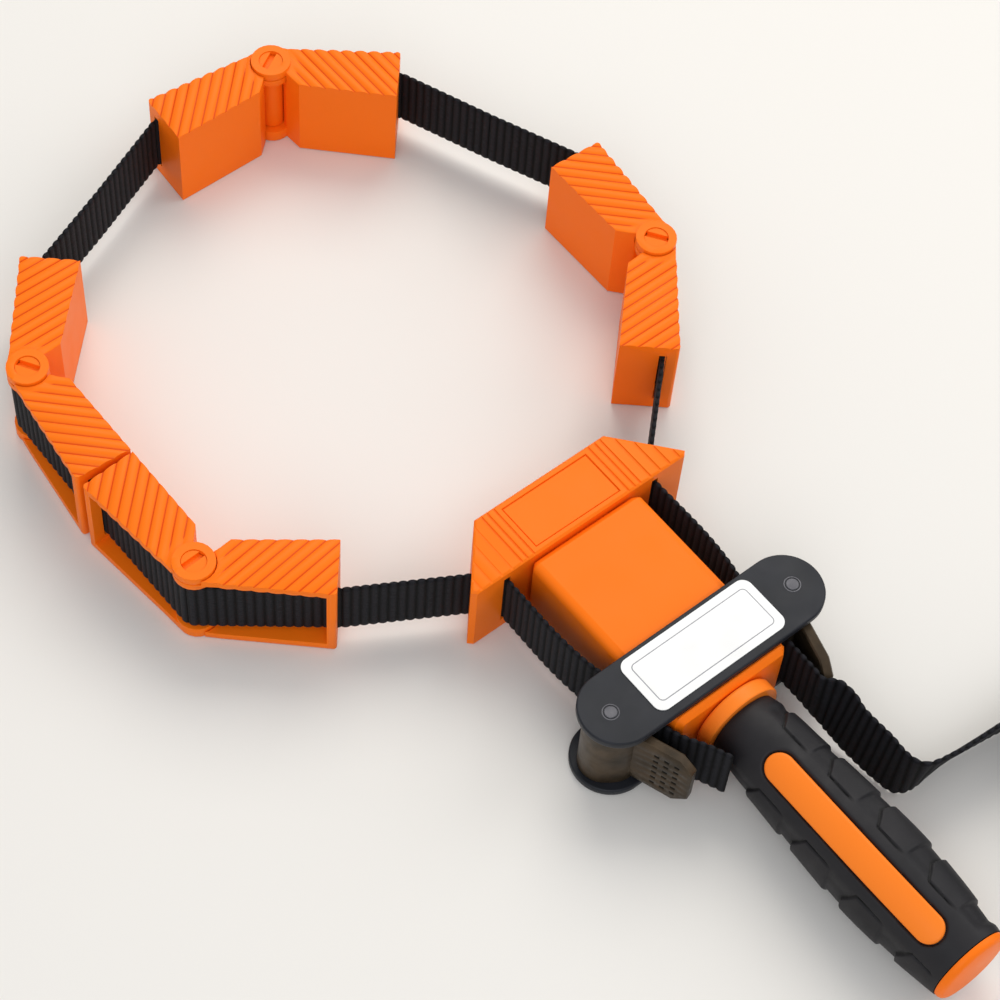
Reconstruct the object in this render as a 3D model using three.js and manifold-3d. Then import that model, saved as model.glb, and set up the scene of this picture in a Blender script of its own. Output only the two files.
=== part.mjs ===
// A band clamp: a webbing strap round a frame, drawn tight by a screw handle and held by two toothed cam levers.
// Millimetres, +Z up. The origin is the middle of the head's underside, and +X runs from the head to the handle.
// Left is -Y and right is +Y, as seen from the handle.
import * as THREE from "three";
import { mergeVertices } from "three/addons/utils/BufferGeometryUtils.js";
import Module from "manifold-3d";

const wasm = await Module();
wasm.setup();

// Driving dimensions

const fit = 0.3; // clearance between pieces that touch
const overrun = 5; // how far a cutting solid runs past the material
const weldDistance = 1e-3;
const axisHeight = 18; // the tool's axis above what the clamp lies on
const degree = Math.PI / 180;

const strap = { width: 25, thickness: 1.6, length: 4000, slack: 0.5 };

const loop = { cornerCount: 8, sideLength: 78.5, offset: -8 };

const head = {
  front: -11.25,
  rear: 11.6,
  frontHalfWidth: 28,
  rearHalfWidth: 46.3,
  tipChamfer: 1.6,
  roof: 3.5, // the material above the strap's channel
  edge: 0.8,
  panelFront: -9,
  panelRear: 9.4,
  panelHalfWidth: 18.3,
  panelDepth: 0.9,
  channelTurn: 7.8,
  channelSpread: 5.5, // how far the wings' channels stand outside the straps' lines at the levers
  channelRadius: 4,
  grooveWidth: 0.8,
  grooveDepth: 0.5,
  stemWidth: 23,
  stemEnd: 66,
};

// The head's grooves run fore and aft at these distances from its middle.
const headGrooveOffsets = [20.4, 23.2, 25.6, 29.9, 34.2, 38.5, 42.8];

const spindle = {
  radius: 4.7,
  tip: 20,
  tipBevel: 1.2,
  relief: 1.2,
  flangeRadius: 9,
  flange: 2,
  washer: 1,
  washerRadius: 10,
  tangWidth: 6.6,
  tangStart: 96,
  tangEnd: 150,
};

const nut = { width: 16, length: 9.6 };

const housing = {
  front: 12.5,
  rear: 88.3,
  halfWidth: 23.5,
  rise: 0.7, // how far its top and bottom stand past the plates' inner faces
  edge: 3,
  endBevel: 2,
  rearWall: 9.4,
  anvilFront: 62,
  anvilRear: 81.5,
  anvilRise: 1.9,
};

const plate = { thickness: 3, centre: 72, endRadius: 13.5, endInset: 3.2, edge: 0.5 };

const label = { length: 22.2, width: 55, shift: 0.7, centreY: 0.7, cornerRadius: 3.6, thickness: 0.4, bond: 0.05 };

const rivet = { radius: 3.05, ringOuter: 2.6, ringInner: 2.15, ringDepth: 0.5, stand: 0.25 };

const lever = {
  camRadius: 11.4,
  heelRadius: 8.5,
  fullToAngle: 95,
  fallToAngle: 170,
  heelToAngle: 320,
  riseToAngle: 400,
  toothCount: 13,
  toothFromAngle: 55,
  toothToAngle: 150,
  toothDepth: 0.7,
  camSteps: 24,
  tabReach: 31.5,
  tabRoot: 4,
  tabOffset: 0.7,
  tabAngle: 19.6,
  tabThickness: 3.8,
  tabLow: 5,
  tabHigh: 31,
  tabCut: 5,
  rightOpenAngle: 4,
};

const collar = { start: 88.9, length: 5.6, radius: 15.2, edge: 1 };

const grip = {
  start: 94.8,
  coreRadius: 10.4,
  end: 200,
  capLength: 2.8,
  capRadius: 13.9,
  capEndRadius: 12.2,
  plugRadius: 4.6,
  plugLength: 12,
  inlayFrom: 113,
  inlayTo: 192,
  inlayHalfWidth: 5.25,
  inlayRise: 0.25,
  inlayRollAngle: 29,
  segmentCount: 32,
};
// The grip's outer profile as radii along its length.
const gripRadii = { neck: 12.5, throat: 14.5, front: 15.4, middle: 16.8, widest: 17.7, back: 16.7, tail: 14.9, last: 14.2 };
const gripShares = { neck: 0, throat: 0.088, front: 0.22, middle: 0.42, widest: 0.63, back: 0.81, tail: 0.953, last: 1 };

const jaw = {
  height: 36,
  reach: 47.6,
  pinToFace: 9,
  wall: 3,
  plate: 3,
  endWall: 4.5,
  heel: 11.7,
  neckAlong: 6,
  neckAcross: 4,
  edgeAlong: 8,
  edgeAcross: 8,
  farAcross: 12,
  farSlant: 1.1,
  farRadius: 1.2,
  scallopCount: 7,
  scallopDepth: 0.9,
  ribCount: 8,
  ribPitch: 5.4,
  ribWidth: 1.1,
  ribDepth: 0.6,
  barrelRadius: 4.6,
  earRadius: 7.3,
  earHeight: 4.8,
  knuckle: 2.8, // the barrel half's ring under the eared half's upper one
  ringRise: 1.2,
  runningGap: 0.4,
  slotAcross: 6.5,
  pinRadius: 2.2,
  pinHeadRadius: 4.1,
  pinHead: 1.6,
  pinHeadSunk: 0.4,
  pinSlot: 2.2,
  pinSlotDepth: 1.1,
  pinSlotShift: 0.6,
  buttGap: 1.2,
};

// The strap's loose ends, as places of the centreline: along, outwards from the line at the levers, and for the
// right end the height of its middle and its lean in degrees.
const leftTail = [
  [82, 0],
  [90, -2.4],
  [98, -7],
  [106, -10.6],
];
const rightTail = [
  [82, 0.1, 18, 0],
  [97, 0, 18, 0],
  [102, 0, 17.5, 0],
  [107, 2.4, 16.2, 12],
  [112, 3.2, 14.8, 13],
  [117, 3, 13.8, 10],
  [130, 4, 12.8, 9],
  [138, 4.9, 12.6, 4],
  [142.4, 9, 12.6, -8],
  [143.4, 21.5, 12.3, -18],
  [145.5, 42.5, 12.4, -14],
  [147, 63.5, 12.6, -6],
];
const tailSteps = 44;

const roll = { start: 147, outwards: 85.5, coreRadius: 13.5, gap: 0.5, stepsPerTurn: 24 };

const runBends = { straightEnd: 40, shoulder: 55, shoulderOut: 3.7, lead: 64, leadOut: 0.8 };

// Derived values

const anvilFace = housing.halfWidth + housing.anvilRise;
const pinchOffset = anvilFace + fit + strap.thickness / 2;
const halfPitch = pinchOffset + strap.thickness / 2 + fit + lever.camRadius;
const channelOffset = pinchOffset + head.channelSpread;
const circumradius = loop.sideLength / (2 * Math.sin(Math.PI / loop.cornerCount));
const apothem = loop.sideLength / (2 * Math.tan(Math.PI / loop.cornerCount));
const loopCentre = [head.front - apothem, loop.offset];
const strapLow = axisHeight - strap.width / 2;
const plateTop = jaw.height;
const plateUnder = plateTop - plate.thickness;
const stemHalf = head.stemWidth / 2;
const boreHalf = stemHalf + fit;
const flangeEnd = housing.rear - housing.rearWall - fit - spindle.washer - fit;
const channelThickness = strap.thickness + 2 * strap.slack;
const channelLow = strapLow - strap.slack;
const channelHigh = 2 * axisHeight - channelLow;
const headTop = channelHigh + head.roof;

// Each jaw stands at a corner of the loop. ears names the side, counterclockwise or clockwise, that has the ears.
const jaws = [
  { name: "jaw_right_near", corner: 1, ears: 1, slotAngle: 35 },
  { name: "jaw_right_far", corner: 3, ears: -1, slotAngle: 120 },
  { name: "jaw_left_far", corner: -3, ears: -1, slotAngle: 32 },
  { name: "jaw_left_near", corner: -2, ears: -1, slotAngle: 93, shifted: true, inwardAngle: 7.8 },
];

// Materials

function orangePlastic() {
  return new THREE.MeshStandardMaterial({ color: 0xf4741f, roughness: 0.42, metalness: 0 });
}

function blackSteel() {
  return new THREE.MeshStandardMaterial({ color: 0x2f2f35, roughness: 0.38, metalness: 0.5 });
}

function brownSteel() {
  return new THREE.MeshStandardMaterial({ color: 0x3a3130, roughness: 0.35, metalness: 0.8 });
}

function platedSteel() {
  return new THREE.MeshStandardMaterial({ color: 0xb4b6ba, roughness: 0.3, metalness: 0.9 });
}

function blackRubber() {
  return new THREE.MeshStandardMaterial({ color: 0x2b282b, roughness: 0.75, metalness: 0 });
}

function blackWebbing() {
  return new THREE.MeshStandardMaterial({ color: 0x17171a, roughness: 0.9, metalness: 0 });
}

function whiteLabel() {
  return new THREE.MeshStandardMaterial({ color: 0xf2f2f2, roughness: 0.5, metalness: 0 });
}

// Solids

function solidOf(geometry) {
  const bare = geometry.clone();
  bare.deleteAttribute("normal");
  bare.deleteAttribute("uv");
  const merged = mergeVertices(bare, weldDistance);
  const vertProperties = merged.attributes.position.array;
  const triVerts = new Uint32Array(merged.index.array);
  return new wasm.Manifold(new wasm.Mesh({ numProp: 3, vertProperties, triVerts }));
}

function geometryOf(solid) {
  const mesh = solid.getMesh();
  const geometry = new THREE.BufferGeometry();
  geometry.setAttribute("position", new THREE.BufferAttribute(mesh.vertProperties, mesh.numProp));
  geometry.setIndex(new THREE.BufferAttribute(mesh.triVerts, 1));
  geometry.computeVertexNormals();
  return geometry;
}

function join(...solids) {
  return solids.reduce((whole, solid) => whole.add(solid));
}

function cut(solid, ...cutters) {
  return cutters.reduce((whole, cutter) => whole.subtract(cutter), solid);
}

function named(name, form, material) {
  const geometry = form.isBufferGeometry ? form : geometryOf(form);
  const mesh = new THREE.Mesh(geometry, material);
  mesh.name = name;
  return mesh;
}

// A prism over a plan outline, from one height to another, with an optional bevel on both ends.
function prism(outline, low, high, bevel = 0) {
  const shape = new THREE.Shape(outline.map(([x, y]) => new THREE.Vector2(x, y)));
  const geometry = new THREE.ExtrudeGeometry(shape, {
    depth: high - low - 2 * bevel,
    bevelEnabled: bevel > 0,
    bevelThickness: bevel,
    bevelSize: bevel,
    bevelOffset: -bevel,
    bevelSegments: 1,
  });
  geometry.translate(0, 0, low + bevel);
  return solidOf(geometry);
}

function block(low, high) {
  const size = high.map((value, axis) => value - low[axis]);
  const geometry = new THREE.BoxGeometry(...size);
  geometry.translate(...low.map((value, axis) => value + size[axis] / 2));
  return solidOf(geometry);
}

// A solid turned about the vertical through the origin; the profile holds radius and height.
function turned(profile, segments = 24) {
  const points = profile.map(([radius, height]) => new THREE.Vector2(radius, height));
  const geometry = new THREE.LatheGeometry(points, segments);
  geometry.rotateX(Math.PI / 2);
  return solidOf(geometry);
}

function drum(radius, low, high, segments = 24) {
  return turned([[0, low], [radius, low], [radius, high], [0, high]], segments);
}

// The same about the tool's axis; the profile holds radius and place along X.
function alongAxis(profile, segments = 24) {
  const points = profile.map(([radius, along]) => new THREE.Vector2(radius, along));
  const geometry = new THREE.LatheGeometry(points, segments);
  geometry.rotateZ(-Math.PI / 2);
  geometry.translate(0, 0, axisHeight);
  return solidOf(geometry);
}

function rod(radius, from, to, segments = 24) {
  return alongAxis([[0, from], [radius, from], [radius, to], [0, to]], segments);
}

function arc(centre, radius, from, to, steps) {
  return Array.from({ length: steps + 1 }, (_, i) => {
    const angle = from + ((to - from) * i) / steps;
    return [centre[0] + radius * Math.cos(angle), centre[1] + radius * Math.sin(angle)];
  });
}

function roundedBox(halfX, halfY, radius, steps = 4) {
  const corners = [[1, 1], [-1, 1], [-1, -1], [1, -1]];
  return corners.flatMap(([sx, sy], i) => {
    const centre = [sx * (halfX - radius), sy * (halfY - radius)];
    return arc(centre, radius, (i * Math.PI) / 2, ((i + 1) * Math.PI) / 2, steps);
  });
}

// The arc that rounds the corner between two straight stretches of a centreline.
function bend(before, corner, after, radius, steps = 5) {
  const into = new THREE.Vector2(corner[0] - before[0], corner[1] - before[1]).normalize();
  const out = new THREE.Vector2(after[0] - corner[0], after[1] - corner[1]).normalize();
  const turn = Math.atan2(into.cross(out), into.dot(out));
  const side = Math.sign(turn);
  const back = radius * Math.tan(Math.abs(turn) / 2);
  const start = [corner[0] - into.x * back, corner[1] - into.y * back];
  const centre = [start[0] - side * into.y * radius, start[1] + side * into.x * radius];
  const from = Math.atan2(start[1] - centre[1], start[0] - centre[0]);
  return arc(centre, radius, from, from + turn, steps);
}

function polylineLength(points) {
  return points.slice(1).reduce((sum, point, i) => {
    return sum + Math.hypot(...point.slice(0, 3).map((value, axis) => value - points[i][axis]));
  }, 0);
}

// Strap

// A strap on edge along a centreline. A point holds X and Y, and may hold the middle's height and a lean in degrees.
function ribbon(points, thickness = strap.thickness, width = strap.width) {
  const rings = points.map((point, i) => {
    const before = points[Math.max(i - 1, 0)];
    const after = points[Math.min(i + 1, points.length - 1)];
    const into = new THREE.Vector2(point[0] - before[0], point[1] - before[1]).normalize();
    const out = new THREE.Vector2(after[0] - point[0], after[1] - point[1]).normalize();
    const along = into.clone().add(out).normalize();
    const mitre = i > 0 && i < points.length - 1 ? into.dot(along) : 1;
    const lean = (point[3] ?? 0) * degree;
    const middle = new THREE.Vector3(point[0], point[1], point[2] ?? axisHeight);
    const normal = new THREE.Vector3(-along.y, along.x, 0);
    const across = new THREE.Vector3(0, 0, Math.cos(lean)).addScaledVector(normal, Math.sin(lean));
    const face = normal.multiplyScalar(Math.cos(lean)).setZ(-Math.sin(lean)).divideScalar(mitre);
    return [[1, -1], [1, 1], [-1, 1], [-1, -1]].map(([side, edge]) => {
      const corner = middle.clone().addScaledVector(face, (side * thickness) / 2);
      return corner.addScaledVector(across, (edge * width) / 2).toArray();
    });
  });
  const triangles = [0, 2, 1, 0, 3, 2];
  for (let i = 0; i + 1 < rings.length; i += 1) {
    for (let k = 0; k < 4; k += 1) {
      const [a, b] = [i * 4 + k, i * 4 + ((k + 1) % 4)];
      triangles.push(a, b, a + 4, b, b + 4, a + 4);
    }
  }
  const last = (rings.length - 1) * 4;
  triangles.push(last, last + 1, last + 2, last, last + 2, last + 3);
  const geometry = new THREE.BufferGeometry();
  geometry.setAttribute("position", new THREE.Float32BufferAttribute(rings.flat(2), 3));
  geometry.setIndex(triangles);
  geometry.computeVertexNormals();
  return geometry;
}

const layStraps = {};

function strapMesh(name, points) {
  layStraps[name] = polylineLength(points);
  return named(name, ribbon(points), blackWebbing());
}

// Jaws

function cornerAngle(spec) {
  return ((spec.corner + 1 / 2) * 2 * Math.PI) / loop.cornerCount;
}

function cornerPoint(corner) {
  const angle = cornerAngle({ corner });
  return [loopCentre[0] + circumradius * Math.cos(angle), loopCentre[1] + circumradius * Math.sin(angle)];
}

// The pin stands outside its corner, level with both contact faces. The shifted jaw butts against its neighbour instead.
function pinPoint(spec) {
  const angle = cornerAngle(spec);
  const out = jaw.pinToFace / Math.cos(Math.PI / loop.cornerCount);
  const corner = cornerPoint(spec.corner);
  const pin = [corner[0] + out * Math.cos(angle), corner[1] + out * Math.sin(angle)];
  if (!spec.shifted) return pin;
  const neighbour = pinPoint({ corner: spec.corner - 1 });
  return [neighbour[0] + 2 * jaw.reach + jaw.buttGap, neighbour[1]];
}

// side is 1 for the half that runs counterclockwise round the loop and -1 for the other.
function halfDirection(spec, side) {
  const inward = side > 0 ? (spec.inwardAngle ?? 0) * degree : 0;
  return cornerAngle(spec) + side * (Math.PI / 2 + Math.PI / loop.cornerCount) + inward;
}

function halfToWorld(spec, side, [along, across]) {
  const direction = halfDirection(spec, side);
  const pin = pinPoint(spec);
  const y = -side * across;
  return [
    pin[0] + along * Math.cos(direction) - y * Math.sin(direction),
    pin[1] + along * Math.sin(direction) + y * Math.cos(direction),
  ];
}

function halfOutline() {
  const edge = [];
  const run = jaw.reach - jaw.farSlant - jaw.farRadius - jaw.edgeAlong;
  const rise = jaw.farAcross - jaw.edgeAcross;
  for (let i = 0; i < jaw.scallopCount; i += 1) {
    for (const share of [0, 1 / 4, 1 / 2, 3 / 4]) {
      const place = (i + share) / jaw.scallopCount;
      const bulge = jaw.scallopDepth * (Math.sin(share * Math.PI) - 1);
      edge.push([jaw.edgeAlong + run * place, jaw.edgeAcross + rise * place + bulge]);
    }
  }
  const far = [jaw.reach - jaw.farSlant - jaw.farRadius, jaw.farAcross - jaw.farRadius];
  return [
    [jaw.heel, -jaw.pinToFace],
    [jaw.reach, -jaw.pinToFace],
    ...arc(far, jaw.farRadius, 0, Math.PI / 2, 4),
    ...edge.reverse(),
    [0, jaw.earRadius],
    [jaw.neckAlong, -jaw.neckAcross],
  ];
}

// The pocket behind the contact wall, open on the outer side; its slanted side leaves the heel's wall.
function pocketOutline() {
  const slant = [jaw.neckAlong - jaw.heel, jaw.pinToFace - jaw.neckAcross];
  const length = Math.hypot(...slant);
  const inner = [jaw.heel + (jaw.wall * slant[1]) / length, -jaw.pinToFace - (jaw.wall * slant[0]) / length];
  const floor = jaw.wall - jaw.pinToFace;
  const start = [inner[0] + (slant[0] * (floor - inner[1])) / slant[1], floor];
  const end = [start[0] + slant[0] * overrun, start[1] + slant[1] * overrun];
  const far = jaw.reach - jaw.endWall;
  return [start, [far, floor], [far, end[1]], end];
}

function ribCutters(flip) {
  const across = jaw.farAcross + jaw.pinToFace;
  return Array.from({ length: jaw.ribCount }, (_, i) => {
    const foot = jaw.heel + jaw.ribWidth + jaw.ribPitch * (i + 1 / 2);
    const start = [foot + overrun, -jaw.pinToFace - overrun];
    const end = [foot - across - overrun, jaw.farAcross + overrun];
    const groove = [start, [start[0] + jaw.ribWidth, start[1]], [end[0] + jaw.ribWidth, end[1]], end];
    const plan = groove.map(([u, v]) => [u, flip * v]);
    return prism(plan, jaw.height - jaw.ribDepth, jaw.height + overrun);
  });
}

function halfBody(flip) {
  const place = ([u, v]) => [u, flip * v];
  const shell = cut(
    prism(halfOutline().map(place), 0, jaw.height),
    prism(pocketOutline().map(place), jaw.plate, jaw.height - jaw.plate),
  );
  const [slotLow, slotHigh] = [jaw.slotAcross - channelThickness / 2, jaw.slotAcross + channelThickness / 2];
  const slotPlan = [
    [jaw.reach - jaw.endWall - overrun, slotLow],
    [jaw.reach + overrun, slotLow],
    [jaw.reach + overrun, slotHigh],
    [jaw.reach - jaw.endWall - overrun, slotHigh],
  ];
  return cut(shell, prism(slotPlan.map(place), channelLow, channelHigh));
}

const barrelLow = jaw.earHeight + jaw.runningGap;
const knuckleLow = axisHeight * 2 - barrelLow;
const barrelHigh = knuckleLow + jaw.knuckle;
const earUnder = barrelHigh + jaw.runningGap;
const ringTop = jaw.height + jaw.ringRise;

function earedHalf(spec, side) {
  const flip = -side;
  const clearRadius = jaw.earRadius + jaw.runningGap;
  const head = drum(jaw.pinHeadRadius + fit, ringTop - jaw.pinHeadSunk - jaw.pinHead - fit, ringTop + overrun);
  const ribbed = cut(halfBody(flip), ...ribCutters(flip).map((rib) => cut(rib, drum(clearRadius, 0, ringTop + overrun))));
  const ears = join(drum(jaw.earRadius, 0, jaw.earHeight), drum(jaw.earRadius, earUnder, ringTop));
  const cleared = cut(
    ribbed,
    drum(jaw.barrelRadius + jaw.runningGap, jaw.earHeight, earUnder),
    drum(clearRadius, knuckleLow - jaw.runningGap, earUnder),
  );
  const half = cut(join(cleared, ears), drum(jaw.pinRadius + fit, -overrun, ringTop), head);
  return named(spec.name + "_eared_half", half, orangePlastic());
}

function barrelHalf(spec, side) {
  const flip = -side;
  const clearRadius = jaw.earRadius + jaw.runningGap;
  const ribbed = cut(halfBody(flip), ...ribCutters(flip));
  const cleared = cut(
    ribbed,
    drum(clearRadius, -overrun, barrelLow),
    drum(clearRadius, barrelHigh, ringTop + overrun),
  );
  const barrel = drum(jaw.barrelRadius, barrelLow, barrelHigh);
  const knuckle = drum(jaw.earRadius, knuckleLow, barrelHigh);
  const bore = drum(jaw.pinRadius + fit, -overrun, ringTop + overrun);
  return named(spec.name + "_barrel_half", cut(join(cleared, barrel, knuckle), bore), orangePlastic());
}

function jawPin(spec) {
  const top = ringTop - jaw.pinHeadSunk;
  const under = top - jaw.pinHead;
  const body = turned([
    [0, fit],
    [jaw.pinRadius, fit],
    [jaw.pinRadius, under],
    [jaw.pinHeadRadius, under],
    [jaw.pinHeadRadius, top],
    [0, top],
  ]);
  const reach = jaw.pinHeadRadius + overrun;
  const [near, far] = [jaw.pinSlotShift - jaw.pinSlot / 2, jaw.pinSlotShift + jaw.pinSlot / 2];
  const slot = block([-reach, near, top - jaw.pinSlotDepth], [reach, far, top + overrun]);
  const mesh = named(spec.name + "_pin", cut(body, slot), orangePlastic());
  mesh.rotation.z = spec.slotAngle * degree;
  return mesh;
}

// The strap inside one half: from the slot in the far wall, straight to the barrel, and round it to the jaw's middle.
function strapInHalf(spec, side) {
  const wrap = jaw.barrelRadius + fit + strap.thickness / 2;
  const included = halfDirection(spec, 1) - halfDirection(spec, -1);
  const middle = Math.PI - (2 * Math.PI - Math.abs(included)) / 2;
  const outer = Math.PI - Math.abs(middle);
  const distance = Math.hypot(jaw.reach, jaw.slotAcross);
  const touch = Math.atan2(jaw.slotAcross, jaw.reach) + Math.acos(wrap / distance);
  const halfGap = fit / 2 / wrap;
  const round = arc([0, 0], wrap, Math.PI - outer - halfGap, touch, 4);
  const local = [...round, [jaw.reach + fit / 2, jaw.slotAcross]];
  const points = local.map((point) => halfToWorld(spec, side, point));
  const kind = side === spec.ears ? "eared" : "barrel";
  return strapMesh(spec.name + "_strap_" + kind, points);
}

function exitPoint(spec, side) {
  return halfToWorld(spec, side, [jaw.reach + 2 * fit, jaw.slotAcross]);
}

function jawGroup(spec) {
  const group = new THREE.Group();
  const halves = [
    [earedHalf, spec.ears],
    [barrelHalf, -spec.ears],
  ];
  const [x, y] = pinPoint(spec);
  for (const [make, side] of halves) {
    const mesh = make(spec, side);
    mesh.position.set(x, y, 0);
    mesh.rotation.z = halfDirection(spec, side);
    group.add(mesh);
  }
  const pin = jawPin(spec);
  pin.position.set(x, y, 0);
  group.add(pin, strapInHalf(spec, 1), strapInHalf(spec, -1));
  return group;
}

// Free stretches of the strap

function wingPath(exit, side) {
  const turn = [head.channelTurn, side * channelOffset];
  const rear = [head.rear, side * channelOffset];
  return [exit, ...bend(exit, turn, rear, head.channelRadius), rear];
}

function freeSpans() {
  const [rightNear, rightFar, leftFar, leftNear] = jaws;
  const touch = strap.thickness / 2;
  const past = (corner) => {
    const angle = cornerAngle({ corner });
    const [x, y] = cornerPoint(corner);
    return [x + touch * Math.cos(angle), y + touch * Math.sin(angle)];
  };
  return [
    strapMesh("strap_span_front_left", wingPath(exitPoint(leftNear, 1), -1)),
    strapMesh("strap_span_left", [exitPoint(leftFar, -1), past(-4), exitPoint(rightFar, 1)]),
    strapMesh("strap_span_back", [exitPoint(rightFar, -1), past(2), exitPoint(rightNear, 1)]),
    strapMesh("strap_span_front_right", wingPath(exitPoint(rightNear, -1), 1)),
  ];
}

function sideRun(name, side) {
  const offsets = [
    [head.rear + fit, channelOffset],
    [runBends.straightEnd, channelOffset],
    [runBends.shoulder, pinchOffset + runBends.shoulderOut],
    [runBends.lead, pinchOffset + runBends.leadOut],
    [plate.centre - lever.camRadius / 2, pinchOffset],
    [plate.centre, pinchOffset],
  ];
  return strapMesh(name, offsets.map(([x, y]) => [x, side * y]));
}

function leftEnd() {
  const route = [[plate.centre + fit, 0], ...leftTail];
  return strapMesh("strap_tail_left", route.map(([x, out]) => [x, -pinchOffset - out]));
}

function rightEnd() {
  const start = [plate.centre + fit, 0, axisHeight, 0];
  const finish = [roll.start, roll.outwards - fit, strap.width / 2, 0];
  const knots = [start, ...rightTail, finish];
  const places = knots.map(([x, out, z]) => new THREE.Vector3(x, pinchOffset + out, z));
  const route = new THREE.CatmullRomCurve3(places, false, "centripetal");
  const leans = knots.map((knot) => knot[3]);
  const points = Array.from({ length: tailSteps + 1 }, (_, i) => {
    const t = i / tailSteps;
    const place = route.getPoint(t);
    const knot = Math.min(Math.floor(t * (leans.length - 1)), leans.length - 2);
    const share = t * (leans.length - 1) - knot;
    return [place.x, place.y, place.z, leans[knot] + (leans[knot + 1] - leans[knot]) * share];
  });
  return strapMesh("strap_tail_right", points);
}

// The rest of the strap's length, rolled up on edge. Each turn lies one pitch inside the last.
function rolledStrap() {
  const laid = Object.values(layStraps).reduce((sum, length) => sum + length, 0);
  const left = strap.length - laid;
  const pitch = strap.thickness + roll.gap;
  const radius = Math.sqrt(roll.coreRadius ** 2 + (left * pitch) / Math.PI);
  const perTurn = roll.stepsPerTurn;
  const steps = Math.round(((radius - roll.coreRadius) / pitch) * perTurn);
  const centre = [roll.start + radius, pinchOffset + roll.outwards];
  const points = Array.from({ length: steps + 1 }, (_, i) => {
    const reach = radius - (pitch * i) / perTurn;
    const angle = Math.PI - (2 * Math.PI * i) / perTurn;
    return [centre[0] + reach * Math.cos(angle), centre[1] + reach * Math.sin(angle), strap.width / 2];
  });
  const least = Math.min(
    ...points.slice(perTurn).map(([x, y], i) => {
      const [before, after] = [points[i], points[i + 1]];
      const [dx, dy] = [after[0] - before[0], after[1] - before[1]];
      return Math.abs(dx * (before[1] - y) - dy * (before[0] - x)) / Math.hypot(dx, dy) - strap.thickness;
    }),
  );
  const turns = steps / perTurn;
  console.log(`rolled strap: ${turns.toFixed(1)} turns, least gap to itself ${least.toFixed(2)} mm`);
  const mesh = strapMesh("strap_roll", points);
  const total = Object.values(layStraps).reduce((sum, length) => sum + length, 0);
  console.log(`strap: ${laid.toFixed(0)} mm laid out, ${total.toFixed(0)} mm in all`);
  return mesh;
}

// Head and nut

function headOutline() {
  const ends = [
    [head.front, head.frontHalfWidth],
    [head.rear - head.tipChamfer, head.rearHalfWidth],
    [head.rear, head.rearHalfWidth - head.tipChamfer],
  ];
  return [...ends, ...ends.map(([x, y]) => [x, -y]).reverse()];
}

function headGrooves(side) {
  return headGrooveOffsets.map((offset) => {
    const [low, high] = [side * offset - head.grooveWidth / 2, side * offset + head.grooveWidth / 2];
    return block(
      [head.front - overrun, low, headTop - head.grooveDepth],
      [head.rear + overrun, high, headTop + overrun],
    );
  });
}

function wingChannel(exit, side) {
  const path = wingPath(exit, side);
  const rear = path[path.length - 1];
  const mouth = [path[1][0] + (exit[0] - path[1][0]) / 2, path[1][1] + (exit[1] - path[1][1]) / 2];
  const cutPath = [mouth, ...path.slice(1), [rear[0] + overrun, rear[1]]];
  return solidOf(ribbon(cutPath, channelThickness, channelHigh - channelLow));
}

function headBlock() {
  const boreRadius = spindle.radius + spindle.relief;
  const body = prism(headOutline(), 0, headTop, head.edge);
  const stem = block(
    [0, -stemHalf, axisHeight - stemHalf],
    [head.stemEnd, stemHalf, axisHeight + stemHalf],
  );
  const panel = block(
    [head.panelFront, -head.panelHalfWidth, headTop - head.panelDepth],
    [head.panelRear, head.panelHalfWidth, headTop + overrun],
  );
  const nutHalf = nut.width / 2 + fit;
  const pocket = block(
    [head.stemEnd - nut.length - fit, -nutHalf, axisHeight - nutHalf],
    [head.stemEnd + overrun, nutHalf, axisHeight + nutHalf],
  );
  const bore = rod(boreRadius, spindle.tip - spindle.tipBevel - fit, head.stemEnd);
  const shaped = cut(
    join(body, stem),
    panel,
    pocket,
    bore,
    ...headGrooves(1),
    ...headGrooves(-1),
    wingChannel(exitPoint(jaws[3], 1), -1),
    wingChannel(exitPoint(jaws[0], -1), 1),
  );
  return named("head_block", shaped, orangePlastic());
}

function spindleNut() {
  const half = nut.width / 2;
  const body = block(
    [head.stemEnd - nut.length, -half, axisHeight - half],
    [head.stemEnd, half, axisHeight + half],
  );
  const thread = rod(spindle.radius + fit, head.stemEnd - nut.length - overrun, head.stemEnd + overrun);
  return named("spindle_nut", cut(body, thread), platedSteel());
}

// Carriage: housing, plates, label and rivets

function housingBlock() {
  const low = plate.thickness + fit - housing.rise;
  const high = 2 * axisHeight - low;
  const section = roundedBox(housing.halfWidth, (high - low) / 2, housing.edge);
  const shape = prism(section, housing.front, housing.rear, housing.endBevel);
  const body = shape.transform([0, 1, 0, 0, 0, 0, 1, 0, 1, 0, 0, 0, 0, 0, axisHeight, 1]);
  const innerEnd = housing.rear - housing.rearWall;
  const cavity = block(
    [housing.front - overrun, -boreHalf, axisHeight - boreHalf],
    [innerEnd, boreHalf, axisHeight + boreHalf],
  );
  const bore = rod(spindle.radius + fit, innerEnd - overrun, housing.rear + overrun);
  const recess = (from, to) =>
    block(
      [plate.centre - plate.endRadius - fit, -housing.halfWidth - overrun, from],
      [plate.centre + plate.endRadius + fit, housing.halfWidth + overrun, to],
    );
  const anvils = [1, -1].map((side) => {
    const edge = side * anvilFace;
    return block(
      [housing.anvilFront, Math.min(0, edge), channelLow],
      [housing.anvilRear, Math.max(0, edge), channelHigh],
    );
  });
  const shaped = cut(
    join(body, ...anvils),
    cavity,
    bore,
    recess(plateUnder - fit, plateUnder + overrun),
    recess(-overrun, plate.thickness + fit),
  );
  return named("housing", shaped, orangePlastic());
}

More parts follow.
